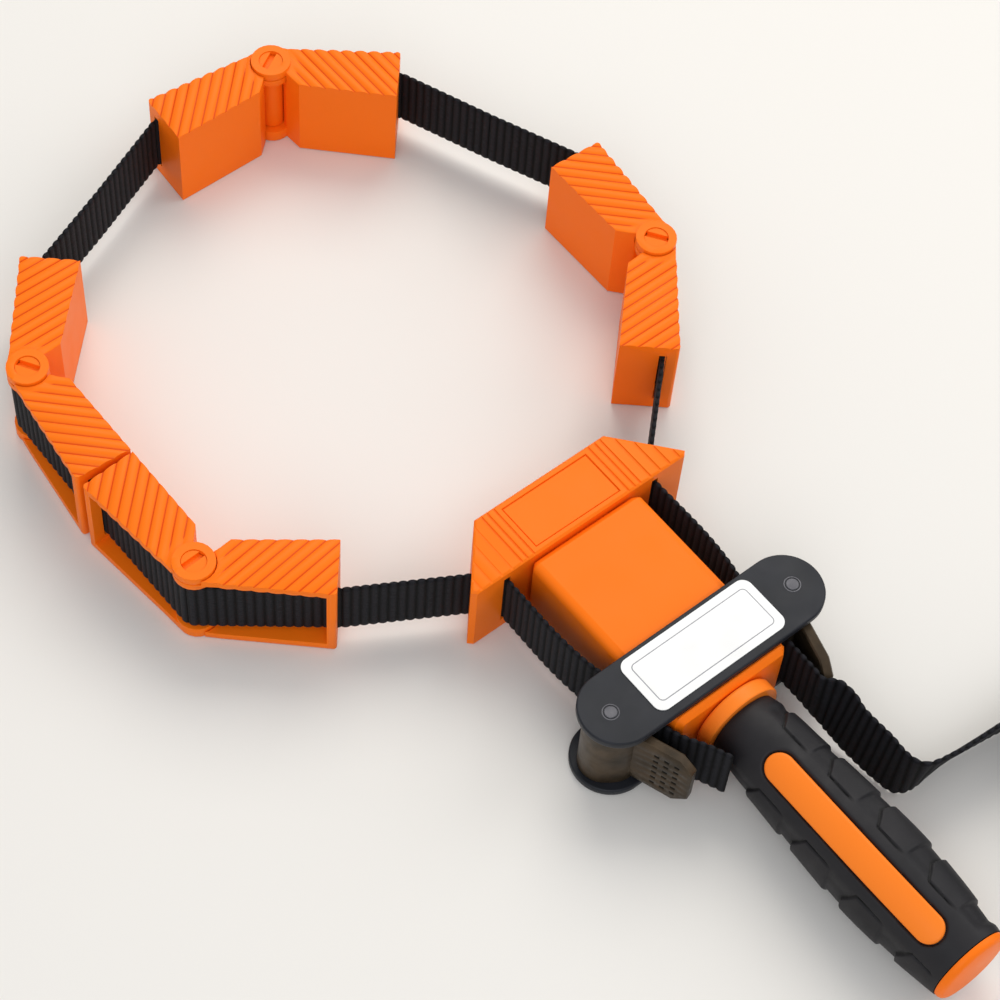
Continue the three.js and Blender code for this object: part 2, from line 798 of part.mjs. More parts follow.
function stadium() {
  const { centre, endRadius } = plate;
  const endCentre = halfPitch - plate.endInset;
  return [
    ...arc([centre, endCentre], endRadius, 0, Math.PI, 12),
    ...arc([centre, -endCentre], endRadius, Math.PI, 2 * Math.PI, 12),
  ];
}

function crossPlate(name, low) {
  const body = prism(stadium(), low, low + plate.thickness, plate.edge);
  const holes = [1, -1].map((side) => {
    return drum(rivet.radius + fit, low - overrun, low + plate.thickness + overrun).translate([
      plate.centre,
      side * halfPitch,
      0,
    ]);
  });
  return named(name, cut(body, ...holes), blackSteel());
}

function labelPlate() {
  const outline = roundedBox(label.length / 2, label.width / 2, label.cornerRadius);
  const low = plateTop + label.bond;
  const body = prism(outline, low, low + label.thickness);
  const mesh = named("label_plate", body, whiteLabel());
  mesh.position.set(plate.centre - label.shift, label.centreY, 0);
  return mesh;
}

function rivetPin(name, side) {
  const [low, high] = [fit, plateTop + rivet.stand];
  const floor = high - rivet.ringDepth;
  const body = turned([
    [0, low],
    [rivet.radius, low],
    [rivet.radius, high],
    [rivet.ringOuter, high],
    [rivet.ringOuter, floor],
    [rivet.ringInner, floor],
    [rivet.ringInner, high],
    [0, high],
  ]);
  const mesh = named(name, body, brownSteel());
  mesh.position.set(plate.centre, side * halfPitch, 0);
  return mesh;
}

// Cam levers

// The cam's radius against the angle from +X: full on the strap side, less round the heel.
function camRadius(angle) {
  const fall = lever.camRadius - lever.heelRadius;
  const ease = (share) => (1 - Math.cos(Math.PI * share)) / 2;
  if (angle <= lever.fullToAngle) return lever.camRadius;
  if (angle <= lever.fallToAngle) {
    return lever.camRadius - fall * ease((angle - lever.fullToAngle) / (lever.fallToAngle - lever.fullToAngle));
  }
  if (angle <= lever.heelToAngle) return lever.heelRadius;
  return lever.heelRadius + fall * ease((angle - lever.heelToAngle) / (lever.riseToAngle - lever.heelToAngle));
}

function camOutline() {
  const toothStep = (lever.toothToAngle - lever.toothFromAngle) / lever.toothCount;
  const points = [];
  for (let i = 0; i < lever.toothCount; i += 1) {
    const angle = lever.toothFromAngle + toothStep * i;
    points.push([angle, camRadius(angle) - lever.toothDepth]);
    points.push([angle + toothStep / 2, camRadius(angle + toothStep / 2)]);
  }
  const rest = lever.toothFromAngle + 2 * 180 - lever.toothToAngle;
  for (let i = 0; i < lever.camSteps; i += 1) {
    const angle = lever.toothToAngle + (rest * i) / lever.camSteps;
    points.push([angle, camRadius(angle)]);
  }
  return points.map(([angle, radius]) => [radius * Math.cos(angle * degree), radius * Math.sin(angle * degree)]);
}

function tab() {
  const { tabLow: low, tabHigh: high, tabCut: corner, tabReach: reach } = lever;
  const outline = [
    [lever.tabRoot, low],
    [reach - corner, low],
    [reach, low + corner],
    [reach, high - corner],
    [reach - corner, high],
    [lever.tabRoot, high],
  ];
  const side = prism(outline, -lever.tabThickness / 2, lever.tabThickness / 2, plate.edge);
  const upright = side.transform([1, 0, 0, 0, 0, 0, 1, 0, 0, -1, 0, 0, 0, 0, 0, 1]);
  return upright.translate([0, lever.tabOffset, 0]);
}

// The lever as it lies on the left, where the strap passes on its +Y side. The right one is its mirror image.
function camLever(name, side) {
  const low = plate.thickness + fit;
  const turnedTab = tab().rotate([0, 0, lever.tabAngle]);
  const whole = join(prism(camOutline(), low, plateUnder - fit), turnedTab);
  const bored = cut(whole, drum(rivet.radius + fit, -overrun, plateTop + overrun));
  const mesh = named(name, side < 0 ? bored : bored.mirror([0, 1, 0]), brownSteel());
  mesh.position.set(plate.centre, side * halfPitch, 0);
  mesh.rotation.z = side > 0 ? lever.rightOpenAngle * degree : 0;
  return mesh;
}

// Screw handle

function screwSpindle() {
  const flangeFront = flangeEnd - spindle.flange;
  const body = alongAxis([
    [0, spindle.tip],
    [spindle.radius - spindle.tipBevel, spindle.tip],
    [spindle.radius, spindle.tip + spindle.tipBevel],
    [spindle.radius, flangeFront],
    [spindle.flangeRadius, flangeFront],
    [spindle.flangeRadius, flangeEnd],
    [spindle.radius, flangeEnd],
    [spindle.radius, spindle.tangStart],
    [0, spindle.tangStart],
  ]);
  const half = spindle.tangWidth / 2;
  const tang = block(
    [spindle.tangStart - overrun, -half, axisHeight - half],
    [spindle.tangEnd, half, axisHeight + half],
  );
  return named("spindle", join(body, tang), platedSteel());
}

function thrustWasher() {
  const start = flangeEnd + fit;
  const ring = rod(spindle.washerRadius, start, start + spindle.washer);
  const hole = rod(spindle.radius + fit, start - overrun, start + overrun);
  return named("thrust_washer", cut(ring, hole), platedSteel());
}

function gripProfile(extra) {
  const length = grip.end - grip.start;
  const knots = Object.keys(gripRadii).map((key) => {
    return new THREE.Vector2(gripRadii[key] + extra, grip.start + length * gripShares[key]);
  });
  const curve = new THREE.SplineCurve(knots);
  return curve.getPoints(10).map((point) => [point.x, point.y]);
}

function gripBody(extra = 0) {
  const profile = gripProfile(extra);
  const [first, last] = [profile[0], profile[profile.length - 1]];
  return alongAxis([[0, first[1]], ...profile, [0, last[1]]], grip.segmentCount);
}

// Two opposite windows in the grip, rolled round the axis.
function inlayPrism(extra) {
  const [from, to] = [grip.inlayFrom - extra, grip.inlayTo + extra];
  const half = grip.inlayHalfWidth + extra;
  const outline = [
    ...arc([to - half, 0], half, -Math.PI / 2, Math.PI / 2, 8),
    ...arc([from + half, 0], half, Math.PI / 2, (3 * Math.PI) / 2, 8),
  ];
  const reach = gripRadii.widest + overrun;
  return prism(outline, -reach, reach).rotate([grip.inlayRollAngle, 0, 0]).translate([0, 0, axisHeight]);
}

function handleCore() {
  const collarEnd = collar.start + collar.length;
  const inner = alongAxis([
    [0, collar.start],
    [collar.radius - collar.edge, collar.start],
    [collar.radius, collar.start + collar.edge],
    [collar.radius, collarEnd],
    [grip.coreRadius, collarEnd],
    [grip.coreRadius, grip.end],
    [0, grip.end],
  ], grip.segmentCount);
  const pads = gripBody(grip.inlayRise).intersect(inlayPrism(0));
  const bore = rod(spindle.radius + fit, collar.start - overrun, spindle.tangStart + fit);
  const half = spindle.tangWidth / 2 + fit;
  const socket = block(
    [spindle.tangStart, -half, axisHeight - half],
    [grip.end - grip.plugLength - fit, half, axisHeight + half],
  );
  const plugHole = rod(grip.plugRadius + fit, grip.end - grip.plugLength - 2 * fit, grip.end + overrun);
  return named("handle_core", cut(join(inner, pads), bore, socket, plugHole), orangePlastic());
}

function gripSleeve() {
  const bore = rod(grip.coreRadius + fit, grip.start - overrun, grip.end + overrun, grip.segmentCount);
  return named("grip_sleeve", cut(gripBody(), bore, inlayPrism(fit)), blackRubber());
}

function endCap() {
  const start = grip.end + fit;
  const body = alongAxis([
    [0, grip.end - grip.plugLength],
    [grip.plugRadius, grip.end - grip.plugLength],
    [grip.plugRadius, start],
    [grip.capRadius, start],
    [grip.capRadius, start + grip.capLength / 2],
    [grip.capEndRadius, start + grip.capLength],
    [0, start + grip.capLength],
  ], grip.segmentCount);
  return named("end_cap", body, orangePlastic());
}

const clamp = new THREE.Group();
clamp.add(headBlock(), spindleNut());
jaws.forEach((spec) => clamp.add(jawGroup(spec)));
clamp.add(...freeSpans());
clamp.add(housingBlock(), crossPlate("top_plate", plateUnder), crossPlate("bottom_plate", 0), labelPlate());
clamp.add(rivetPin("left_pin", -1), rivetPin("right_pin", 1));
clamp.add(camLever("left_lever", -1), camLever("right_lever", 1));
clamp.add(thrustWasher(), screwSpindle(), handleCore(), gripSleeve(), endCap());
clamp.add(sideRun("strap_run_left", -1), sideRun("strap_run_right", 1), leftEnd(), rightEnd());
clamp.add(rolledStrap());

export default clamp;
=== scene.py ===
import bisect
import math

import bmesh
import bpy
from mathutils import Matrix, Vector


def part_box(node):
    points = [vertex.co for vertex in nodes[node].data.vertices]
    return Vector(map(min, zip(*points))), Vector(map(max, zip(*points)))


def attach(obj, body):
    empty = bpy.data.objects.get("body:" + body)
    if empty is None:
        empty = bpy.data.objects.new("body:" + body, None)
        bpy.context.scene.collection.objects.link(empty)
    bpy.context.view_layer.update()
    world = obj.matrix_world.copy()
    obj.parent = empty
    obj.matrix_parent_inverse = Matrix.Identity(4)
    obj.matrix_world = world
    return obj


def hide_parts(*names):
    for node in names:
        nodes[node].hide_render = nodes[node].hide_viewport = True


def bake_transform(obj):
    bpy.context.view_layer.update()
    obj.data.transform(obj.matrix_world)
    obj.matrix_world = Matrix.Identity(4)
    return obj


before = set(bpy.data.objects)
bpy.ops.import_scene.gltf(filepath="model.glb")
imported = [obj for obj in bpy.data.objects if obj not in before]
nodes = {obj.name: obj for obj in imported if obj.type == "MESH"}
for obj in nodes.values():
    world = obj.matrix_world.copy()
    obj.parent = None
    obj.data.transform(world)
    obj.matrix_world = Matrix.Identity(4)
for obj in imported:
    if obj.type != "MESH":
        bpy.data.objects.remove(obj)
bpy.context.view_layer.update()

mm = 0.001
degree = math.pi / 180
axisHeight = 18  # the screw's axis above the floor
weld = {"fine": 0.000001, "piece": 0.000002, "node": 0.00001}  # metres within which doubles merge
flatAngle = 0.6 * degree  # faces that meet flatter than this become one
print("frame loaded:", len(nodes), "nodes")


# camera, floor and light

camera = {
    "place": (351.093, -359.763, 820.004),  # in mm
    "right": (0.626815, 0.777551, 0.050181),
    "down": (0.674552, -0.509294, -0.534415),
    "forward": (-0.389978, 0.368829, -0.843731),
    "lens": 100.8,
    "sensor": 36,
    "farthest": 20,
}

studio = {
    "floorSize": 6,
    "floorDrop": 0.0004,
    "floorColour": "e9e6e0",
    "floorRoughness": 0.6,
    "worldColour": "f6f7fa",
    "worldStrength": 0.62,
    # place, size, watts, colour; all aim at the middle of the tool
    "lamps": (
        ((-0.9, 0.9, 1.5), 1.3, 17, "fffaf2"),
        ((0.9, -0.9, 1.3), 1.1, 8, "f4f8ff"),
        ((0.5, 1.2, 0.9), 0.9, 5, "ffffff"),
    ),
    "aim": (0.02, 0.0, 0.02),
}


def colourOf(code):
    # a written colour as Blender's linear values
    parts = [int(code[i:i + 2], 16) / 255 for i in (0, 2, 4)]
    return tuple(c / 12.92 if c <= 0.04045 else ((c + 0.055) / 1.055) ** 2.4 for c in parts) + (1,)


def makeCamera():
    data = bpy.data.cameras.new("camera")
    data.lens = camera["lens"]
    data.sensor_width = camera["sensor"]
    data.clip_end = camera["farthest"]
    holder = bpy.data.objects.new("camera", data)
    right, down, forward = (Vector(camera[key]) for key in ("right", "down", "forward"))
    turn = Matrix((right, -down, -forward)).transposed().to_4x4()
    holder.matrix_world = Matrix.Translation(Vector(camera["place"]) * mm) @ turn
    bpy.context.scene.collection.objects.link(holder)
    bpy.context.scene.camera = holder


def makeStudio():
    scene = bpy.context.scene
    scene.view_settings.view_transform = "Standard"
    world = bpy.data.worlds.new("studio")
    world.use_nodes = True
    backdrop = world.node_tree.nodes["Background"]
    backdrop.inputs["Color"].default_value = colourOf(studio["worldColour"])
    backdrop.inputs["Strength"].default_value = studio["worldStrength"]
    scene.world = world
    for place, size, watts, colour in studio["lamps"]:
        lamp = bpy.data.lights.new("softbox", "AREA")
        lamp.size = size
        lamp.energy = watts
        lamp.color = colourOf(colour)[:3]
        holder = bpy.data.objects.new("softbox", lamp)
        holder.location = place
        holder.rotation_euler = (Vector(studio["aim"]) - Vector(place)).to_track_quat("-Z", "Y").to_euler()
        scene.collection.objects.link(holder)
    bm = bmesh.new()
    bmesh.ops.create_grid(bm, x_segments=1, y_segments=1, size=studio["floorSize"] / 2)
    bmesh.ops.translate(bm, verts=bm.verts, vec=(0, 0, -studio["floorDrop"]))
    mesh = bpy.data.meshes.new("floor")
    bm.to_mesh(mesh)
    bm.free()
    floor = bpy.data.objects.new("floor", mesh)
    material, _, _ = newMaterial("paleFloor", studio["floorColour"], studio["floorRoughness"])
    mesh.materials.append(material)
    scene.collection.objects.link(floor)


# materials

# a noise is its blobs to the metre, its detail and, where given, its roughness;
# a groove shade is the colour of painted shade in sunk places, and the values of the groove shade mask
# between which it comes in
finishes = {
    "orangePlastic": {
        "colour": "ff7a12", "patches": ("ff7a12", "fc7610"), "patchNoise": (14, 2),
        "patchRange": (0.25, 0.75), "rough": (0.38, 0.48), "roughNoise": (60, 3, 0.6),
        "grain": 0.06, "grainNoise": (2600, 3, 0.6), "metallic": 0, "specular": 0.13,
        # painted shade: the jaws' rib valleys take this darker red-orange
        "groove": ("d8430a", 0.55, 1),
    },
    "coatedSteel": {
        "colour": "222429", "patches": ("202226", "27292f"), "patchNoise": (60, 5),
        "patchRange": (0.3, 0.7), "rough": (0.36, 0.46), "roughNoise": (150, 5),
        "grain": 0.06, "grainNoise": (3200, 3), "metallic": 0.1, "specular": 0.22,
    },
    "brownedSteel": {
        "colour": "352c20", "patches": ("352c20", "514230"), "patchNoise": (140, 6),
        "patchRange": (0.3, 0.7), "rough": (0.32, 0.5), "roughNoise": (300, 5),
        "grain": 0.1, "grainNoise": (1600, 4), "metallic": 0.5, "specular": 0.35,
        # painted shade: the levers' dimples take this near black
        "groove": ("060504", 0.2, 0.9),
    },
    "zincPlate": {
        "colour": "b9bbc0", "patches": ("a9abb1", "cbc9c2"), "patchNoise": (300, 5),
        "patchRange": (0.3, 0.7), "rough": (0.22, 0.4), "roughNoise": (500, 5),
        "grain": 0.06, "grainNoise": (2500, 3), "metallic": 1, "specular": 0.5,
    },
    "gripRubber": {
        "colour": "1a191b", "patches": ("171619", "1f1d20"), "patchNoise": (70, 5),
        "patchRange": (0.3, 0.7), "rough": (0.5, 0.64), "roughNoise": (130, 4),
        "grain": 0.2, "grainNoise": (3800, 2), "metallic": 0, "specular": 0.32,
        # painted shade: the grip's cut lines take this near black
        "groove": ("040404", 0, 1),
    },
    "whiteLabel": {
        "colour": "f4f4f2", "patches": ("f4f4f2", "ececea"), "patchNoise": (60, 3),
        "patchRange": (0.3, 0.7), "rough": (0.28, 0.4), "roughNoise": (200, 4),
        "grain": 0.03, "grainNoise": (900, 3), "metallic": 0, "specular": 0.5,
    },
}
finishes["inlayPlastic"] = dict(
    finishes["orangePlastic"], colour="ff882c", patches=("ff882c", "fc8226"), rough=(0.3, 0.38),
)
finishes["rivetSteel"] = dict(finishes["brownedSteel"], colour="4c4c51", patches=("4c4c51", "5e5e63"))
finishes["labelLine"] = dict(finishes["whiteLabel"], colour="909196", patches=("909196", "85868c"))
grainDepth = 0.0001  # metres, at a grain of 1
noiseRange = (0.3, 0.7)  # where most of a noise's values lie

webbingFinish = {
    "colour": "121214",
    # painted shade: the rib valleys are coloured near black
    "valley": "030304",
    "yarns": ("101013", "27272c"),
    "yarnStretch": (0.6, 9, 1),
    "valleyShadeEnds": (0.06, 0.34),  # shares of a rib from its valley's middle
    "rough": (0.62, 0.85),
    "specular": 0.15,
    "sheen": 0.03,
    "sheenRoughness": 0.4,
    "yarnBump": 0.35,
    "yarnDepth": 0.00015,
}


def newMaterial(name, colour, roughness, metallic=0):
    material = bpy.data.materials.new(name)
    material.use_nodes = True
    material.diffuse_color = colourOf(colour)
    shader = material.node_tree.nodes["Principled BSDF"]
    shader.inputs["Base Color"].default_value = colourOf(colour)
    shader.inputs["Roughness"].default_value = roughness
    shader.inputs["Metallic"].default_value = metallic
    return material, material.node_tree, shader


def addNode(tree, kind, settings=None, **values):
    node = tree.nodes.new(kind)
    for key, value in (settings or {}).items():
        setattr(node, key, value)
    for key, value in values.items():
        socket = node.inputs[key.replace("_", " ")]
        if isinstance(value, bpy.types.NodeSocket):
            tree.links.new(value, socket)
        else:
            socket.default_value = value
    return node


def objectNoise(tree, scale, detail, roughness=0.5):
    place = addNode(tree, "ShaderNodeTexCoord").outputs["Object"]
    noise = addNode(tree, "ShaderNodeTexNoise", Vector=place, Scale=scale, Detail=detail, Roughness=roughness)
    return noise.outputs["Fac"]


def spread(tree, value, low, high, toLow=0, toHigh=1):
    node = addNode(
        tree, "ShaderNodeMapRange", Value=value, From_Min=low, From_Max=high, To_Min=toLow, To_Max=toHigh,
    )
    return node.outputs["Result"]


def mixColour(tree, factor, first, second):
    node = addNode(tree, "ShaderNodeMix", {"data_type": "RGBA"})
    for index, value in ((0, factor), (6, first), (7, second)):
        if isinstance(value, bpy.types.NodeSocket):
            tree.links.new(value, node.inputs[index])
        else:
            node.inputs[index].default_value = colourOf(value)
    return node.outputs[2]


def bumpFrom(tree, shader, height, strength, distance):
    node = addNode(tree, "ShaderNodeBump", Height=height, Strength=strength, Distance=distance)
    tree.links.new(node.outputs["Normal"], shader.inputs["Normal"])


def makeFinish(name):
    # patches of two colours, an uneven gloss and a fine grain, with painted shade where a piece has grooves
    spec = finishes[name]
    material, tree, shader = newMaterial(name, spec["colour"], spec["rough"][0], spec["metallic"])
    patches = spread(tree, objectNoise(tree, *spec["patchNoise"]), *spec["patchRange"])
    base = mixColour(tree, patches, *spec["patches"])
    if "groove" in spec:
        dark, low, high = spec["groove"]
        # painted shade, mixed in by the groove mask of sunk places
        sunk = addNode(tree, "ShaderNodeAttribute", {"attribute_name": "groove"}).outputs["Fac"]
        base = mixColour(tree, spread(tree, sunk, low, high), base, dark)
    tree.links.new(base, shader.inputs["Base Color"])
    gloss = spread(tree, objectNoise(tree, *spec["roughNoise"]), *noiseRange, *spec["rough"])
    tree.links.new(gloss, shader.inputs["Roughness"])
    bumpFrom(tree, shader, objectNoise(tree, *spec["grainNoise"]), spec["grain"], grainDepth)
    shader.inputs["Specular IOR Level"].default_value = spec["specular"]
    return material


def ribbedWebbing():
    # the map's U counts ribs along the strap, V the yarns' width across it
    spec = webbingFinish
    material, tree, shader = newMaterial("ribbedWebbing", spec["colour"], spec["rough"][1])
    place = addNode(tree, "ShaderNodeTexCoord").outputs["UV"]
    fuzz = addNode(tree, "ShaderNodeTexNoise", Vector=place, Scale=7, Detail=5).outputs["Fac"]
    yarn = addNode(tree, "ShaderNodeMapping", Vector=place, Scale=spec["yarnStretch"]).outputs["Vector"]
    strands = addNode(tree, "ShaderNodeTexNoise", Vector=yarn, Scale=2, Detail=3).outputs["Fac"]
    ribPlace = addNode(tree, "ShaderNodeSeparateXYZ", Vector=place).outputs["X"]
    crest = addNode(tree, "ShaderNodeMath", {"operation": "PINGPONG"}, Value=ribPlace)
    crest.inputs[1].default_value = 0.5
    yarns = mixColour(tree, spread(tree, strands, *noiseRange), *spec["yarns"])
    # painted shade: near black in the rib valleys, the yarns' colours on the crests
    valleyShadedRibs = mixColour(tree, spread(tree, crest.outputs[0], *spec["valleyShadeEnds"]), spec["valley"], yarns)
    tree.links.new(valleyShadedRibs, shader.inputs["Base Color"])
    tree.links.new(spread(tree, fuzz, *noiseRange, *spec["rough"]), shader.inputs["Roughness"])
    shader.inputs["Specular IOR Level"].default_value = spec["specular"]
    shader.inputs["Sheen Weight"].default_value = spec["sheen"]
    shader.inputs["Sheen Roughness"].default_value = spec["sheenRoughness"]
    bumpFrom(tree, shader, strands, spec["yarnBump"], spec["yarnDepth"])
    return material


orange = makeFinish("orangePlastic")
inlayOrange = makeFinish("inlayPlastic")
blackCoat = makeFinish("coatedSteel")
brownCoat = makeFinish("brownedSteel")
rivetSteel = makeFinish("rivetSteel")
zinc = makeFinish("zincPlate")
rubber = makeFinish("gripRubber")
webbing = ribbedWebbing()
labelFace = makeFinish("whiteLabel")
labelLine = makeFinish("labelLine")
print("materials ready")


# shared tools

def finishPiece(name, bm, body, material, replaced=(), sharp=32, flatOver=None):
    # edges steeper than sharp degrees stay crisp, and faces over flatOver square mm stay flat
    bmesh.ops.remove_doubles(bm, verts=bm.verts, dist=weld["piece"])
    bmesh.ops.recalc_face_normals(bm, faces=bm.faces)
    mesh = bpy.data.meshes.new(name)
    bm.to_mesh(mesh)
    bm.free()
    mesh.shade_smooth()
    mesh.set_sharp_from_angle(angle=sharp * degree)
    if flatOver:
        for polygon in mesh.polygons:
            polygon.use_smooth = polygon.area < flatOver * mm * mm
    for each in material if isinstance(material, (list, tuple)) else [material]:
        mesh.materials.append(each)
    piece = bpy.data.objects.new(name, mesh)
    bpy.context.scene.collection.objects.link(piece)
    if body:
        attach(piece, body)
    if replaced:
        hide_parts(*replaced)
    return piece


def mergeFlat(bm):
    # loose triangles become one surface with whole flat faces
    bmesh.ops.remove_doubles(bm, verts=bm.verts, dist=weld["node"])
    bmesh.ops.dissolve_degenerate(bm, edges=bm.edges, dist=weld["node"])
    bmesh.ops.dissolve_limit(bm, angle_limit=flatAngle, verts=bm.verts, edges=bm.edges)


def copyNode(name):
    bm = bmesh.new()
    bm.from_mesh(nodes[name].data)
    mergeFlat(bm)
    bm.normal_update()
    return bm


def atLevel(place, height, slack=0.02):
    return abs(place.z / mm - height) < slack


def roundEdges(bm, width, segments=3, steepest=25, chosen=None):
    # bevels what bends more than steepest degrees
    edges = [e for e in bm.edges if len(e.link_faces) == 2 and e.calc_face_angle(0) > steepest * degree]
    if chosen:
        edges = [e for e in edges if chosen(e)]
    bmesh.ops.bevel(
        bm, geom=edges, offset=width * mm, offset_type="OFFSET", segments=segments,
        profile=0.5, affect="EDGES", material=-1, clamp_overlap=True, loop_slide=True,
    )


def cutFaces(bm, faces, point, normal):
    # one plane's cut through these faces alone
    edges = {e for f in faces for e in f.edges}
    verts = {v for f in faces for v in f.verts}
    bmesh.ops.bisect_plane(
        bm, geom=faces + list(edges) + list(verts), dist=1e-7, plane_co=point, plane_no=normal,
    )


def turnedShape(profile, start, along, steps):
    # profile holds radius and place, turned about the line through start
    bm = bmesh.new()
    along = Vector(along)
    aside = along.orthogonal().normalized()
    start = Vector(start) * mm
    verts = [bm.verts.new(start + along * (place * mm) + aside * (radius * mm)) for radius, place in profile]
    edges = [bm.edges.new(pair) for pair in zip(verts, verts[1:])]
    bmesh.ops.spin(
        bm, geom=verts + edges, cent=start, axis=along, angle=2 * math.pi, steps=steps, use_merge=True,
    )
    return bm


def raiseOutline(bm, outline, low, high):
    verts = [bm.verts.new((x * mm, y * mm, low * mm)) for x, y in outline]
    face = bm.faces.new(verts)
    raised = bmesh.ops.extrude_face_region(bm, geom=[face], use_keep_orig=True)
    moved = [v for v in raised["geom"] if isinstance(v, bmesh.types.BMVert)]
    bmesh.ops.translate(bm, verts=moved, vec=(0, 0, (high - low) * mm))


def closeTube(bm):
    # joins a rolled-up grid along its seam and fills its two ends
    bmesh.ops.remove_doubles(bm, verts=bm.verts, dist=weld["fine"])
    bmesh.ops.holes_fill(bm, edges=bm.edges, sides=0)


def arcPoints(centre, radius, start, end, steps):
    points = []
    for i in range(steps + 1):
        angle = start + (end - start) * i / steps
        points.append((centre[0] + radius * math.cos(angle), centre[1] + radius * math.sin(angle)))
    return points


def bendPoints(before, corner, after, radius, steps=10):
    # the arc that rounds one corner of a centreline
    into = (Vector(corner) - Vector(before)).normalized()
    out = (Vector(after) - Vector(corner)).normalized()
    turn = math.atan2(into.x * out.y - into.y * out.x, into.dot(out))
    side = 1 if turn > 0 else -1
    back = radius * math.tan(abs(turn) / 2)
    start = Vector(corner) - into * back
    centre = start + Vector((-side * into.y, side * into.x)) * radius
    first = math.atan2(start.y - centre.y, start.x - centre.x)
    return arcPoints(centre, radius, first, first + turn, steps)


def paint(name, material):
    mesh = nodes[name].data
    mesh.materials.clear()
    mesh.materials.append(material)


# strap

strap = {
    "width": 25,
    "thickness": 1.6,
    "ribPitch": 3.1,
    "ribDepth": 0.46,
    "ribPower": 0.7,  # under 1 the crests are broad and the valleys narrow
    "ribProud": 0.05,  # how far a crest stands over the plain strap
    "ribSteps": 6,
    "rollRibSteps": 4,
    "edgeWave": 0.3,
    "wrapSteps": 14,
    "bendRadius": 12,
    # the section round one half: share of the width from the middle, share of the thickness
    "section": ((0, 1), (0.3, 1), (0.6, 1), (0.85, 1), (0.96, 0.95), (0.993, 0.6)),
}

# the loop's sides, the turn from each to the next, and where its front and its middle line are
loop = {"side": 78.5, "turn": 45, "front": -11.25, "middle": -8}
loop["apothem"] = loop["side"] / (2 * math.tan(loop["turn"] / 2 * degree))
loop["corner"] = loop["side"] / (2 * math.sin(loop["turn"] / 2 * degree))
loop["centre"] = (loop["front"] - loop["apothem"], loop["middle"])

jaw = {
    "spread": 112.5,  # each half's turn from its corner's outward line
    "slotAcross": 6.5,
    "slotEnd": 48.02,
    "reach": 47.6,
    "wrapRadius": 5.7,
    "height": 36,
    "grooveFloor": 35.4,
}

# each jaw: its corner of the loop, its eared half's side, and how far its half on side 1 turns inwards
jaws = {
    "jaw_right_near": {"corner": 1, "ears": 1, "inward": 0},
    "jaw_right_far": {"corner": 3, "ears": -1, "inward": 0},
    "jaw_left_far": {"corner": -3, "ears": -1, "inward": 0},
    "jaw_left_near": {"corner": -2, "ears": -1, "inward": 7.8},
}


def cornerAngle(corner):
    return (corner + 0.5) * loop["turn"] * degree


def pinPoint(name):
    low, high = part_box(name + "_pin")
    middle = (low + high) / 2
    return (middle.x / mm, middle.y / mm)


def halfDirection(name, side):
    spec = jaws[name]
    inward = spec["inward"] * degree if side > 0 else 0
    return cornerAngle(spec["corner"]) + side * jaw["spread"] * degree + inward


def halfToWorld(name, side, place):
    direction = halfDirection(name, side)
    pin = pinPoint(name)
    y = -side * place[1]
    return (
        pin[0] + place[0] * math.cos(direction) - y * math.sin(direction),
        pin[1] + place[0] * math.sin(direction) + y * math.cos(direction),
    )


def exitPoint(name, side):
    return halfToWorld(name, side, (jaw["slotEnd"], jaw["slotAcross"]))


def halfBody(name, side):
    return name + ("_eared" if side == jaws[name]["ears"] else "_barrel")


def flatRoute(points):
    return [(x, y, axisHeight, 0) for x, y in points]


def ribbon(name, route, body, node, ribSteps=strap["ribSteps"]):
    # a strap on edge along a route of x, y, middle height and lean
    lengths = [0]
    for a, b in zip(route, route[1:]):
        lengths.append(lengths[-1] + math.dist(a[:3], b[:3]))
    total = lengths[-1]
    count = max(2, round(total / strap["ribPitch"])) * ribSteps
    quarter = list(strap["section"])
    half = quarter + [(w, -t) for w, t in reversed(quarter)]
    section = half + [(-w, t) for w, t in reversed(half)]
    section = [p for i, p in enumerate(section) if p != section[i - 1]]
    rings = []
    for i in range(count + 1):
        distance = total * i / count
        k = min(max(bisect.bisect_right(lengths, distance) - 1, 0), len(route) - 2)
        share = (distance - lengths[k]) / (lengths[k + 1] - lengths[k])
        spot = Vector(route[k]).lerp(Vector(route[k + 1]), share)
        tangents = []
        for j, near in ((k, 1 - share), (k + 1, share)):
            before, after = route[max(j - 1, 0)], route[min(j + 1, len(route) - 1)]
            tangents.append(Vector((after[0] - before[0], after[1] - before[1])).normalized() * near)
        along = (tangents[0] + tangents[1]).normalized()
        lean = spot[3] * degree
        normal = Vector((-along.y, along.x, 0))
        across = Vector((0, 0, math.cos(lean))) + normal * math.sin(lean)
        face = normal * math.cos(lean) - Vector((0, 0, math.sin(lean)))
        hump = abs(math.sin(math.pi * i / ribSteps)) ** strap["ribPower"]
        rings.append((Vector(spot[:3]), across, face, hump))
    bm = bmesh.new()
    bm.loops.layers.uv.new("UVMap")
    bmesh.ops.create_grid(bm, x_segments=count, y_segments=len(section), size=0.5, calc_uvs=True)
    for vert in bm.verts:
        spot, across, face, hump = rings[round((vert.co.x + 0.5) * count)]
        w, t = section[round((vert.co.y + 0.5) * len(section)) % len(section)]
        halfWide = strap["width"] / 2 - strap["edgeWave"] * (1 - hump)
        halfThick = strap["thickness"] / 2 + strap["ribProud"] - strap["ribDepth"] * (1 - hump)
        vert.co = (spot + across * (w * halfWide) + face * (t * halfThick)) * mm
    layer = bm.loops.layers.uv.active
    perimeter = 2 * (strap["width"] + strap["thickness"]) / strap["ribPitch"]
    for face in bm.faces:
        for corner in face.loops:
            corner[layer].uv.x *= count / ribSteps
            corner[layer].uv.y *= perimeter
    closeTube(bm)
    return finishPiece(name, bm, body, webbing, (node,) if node else (), sharp=70)


def blended(piece):
    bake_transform(piece)


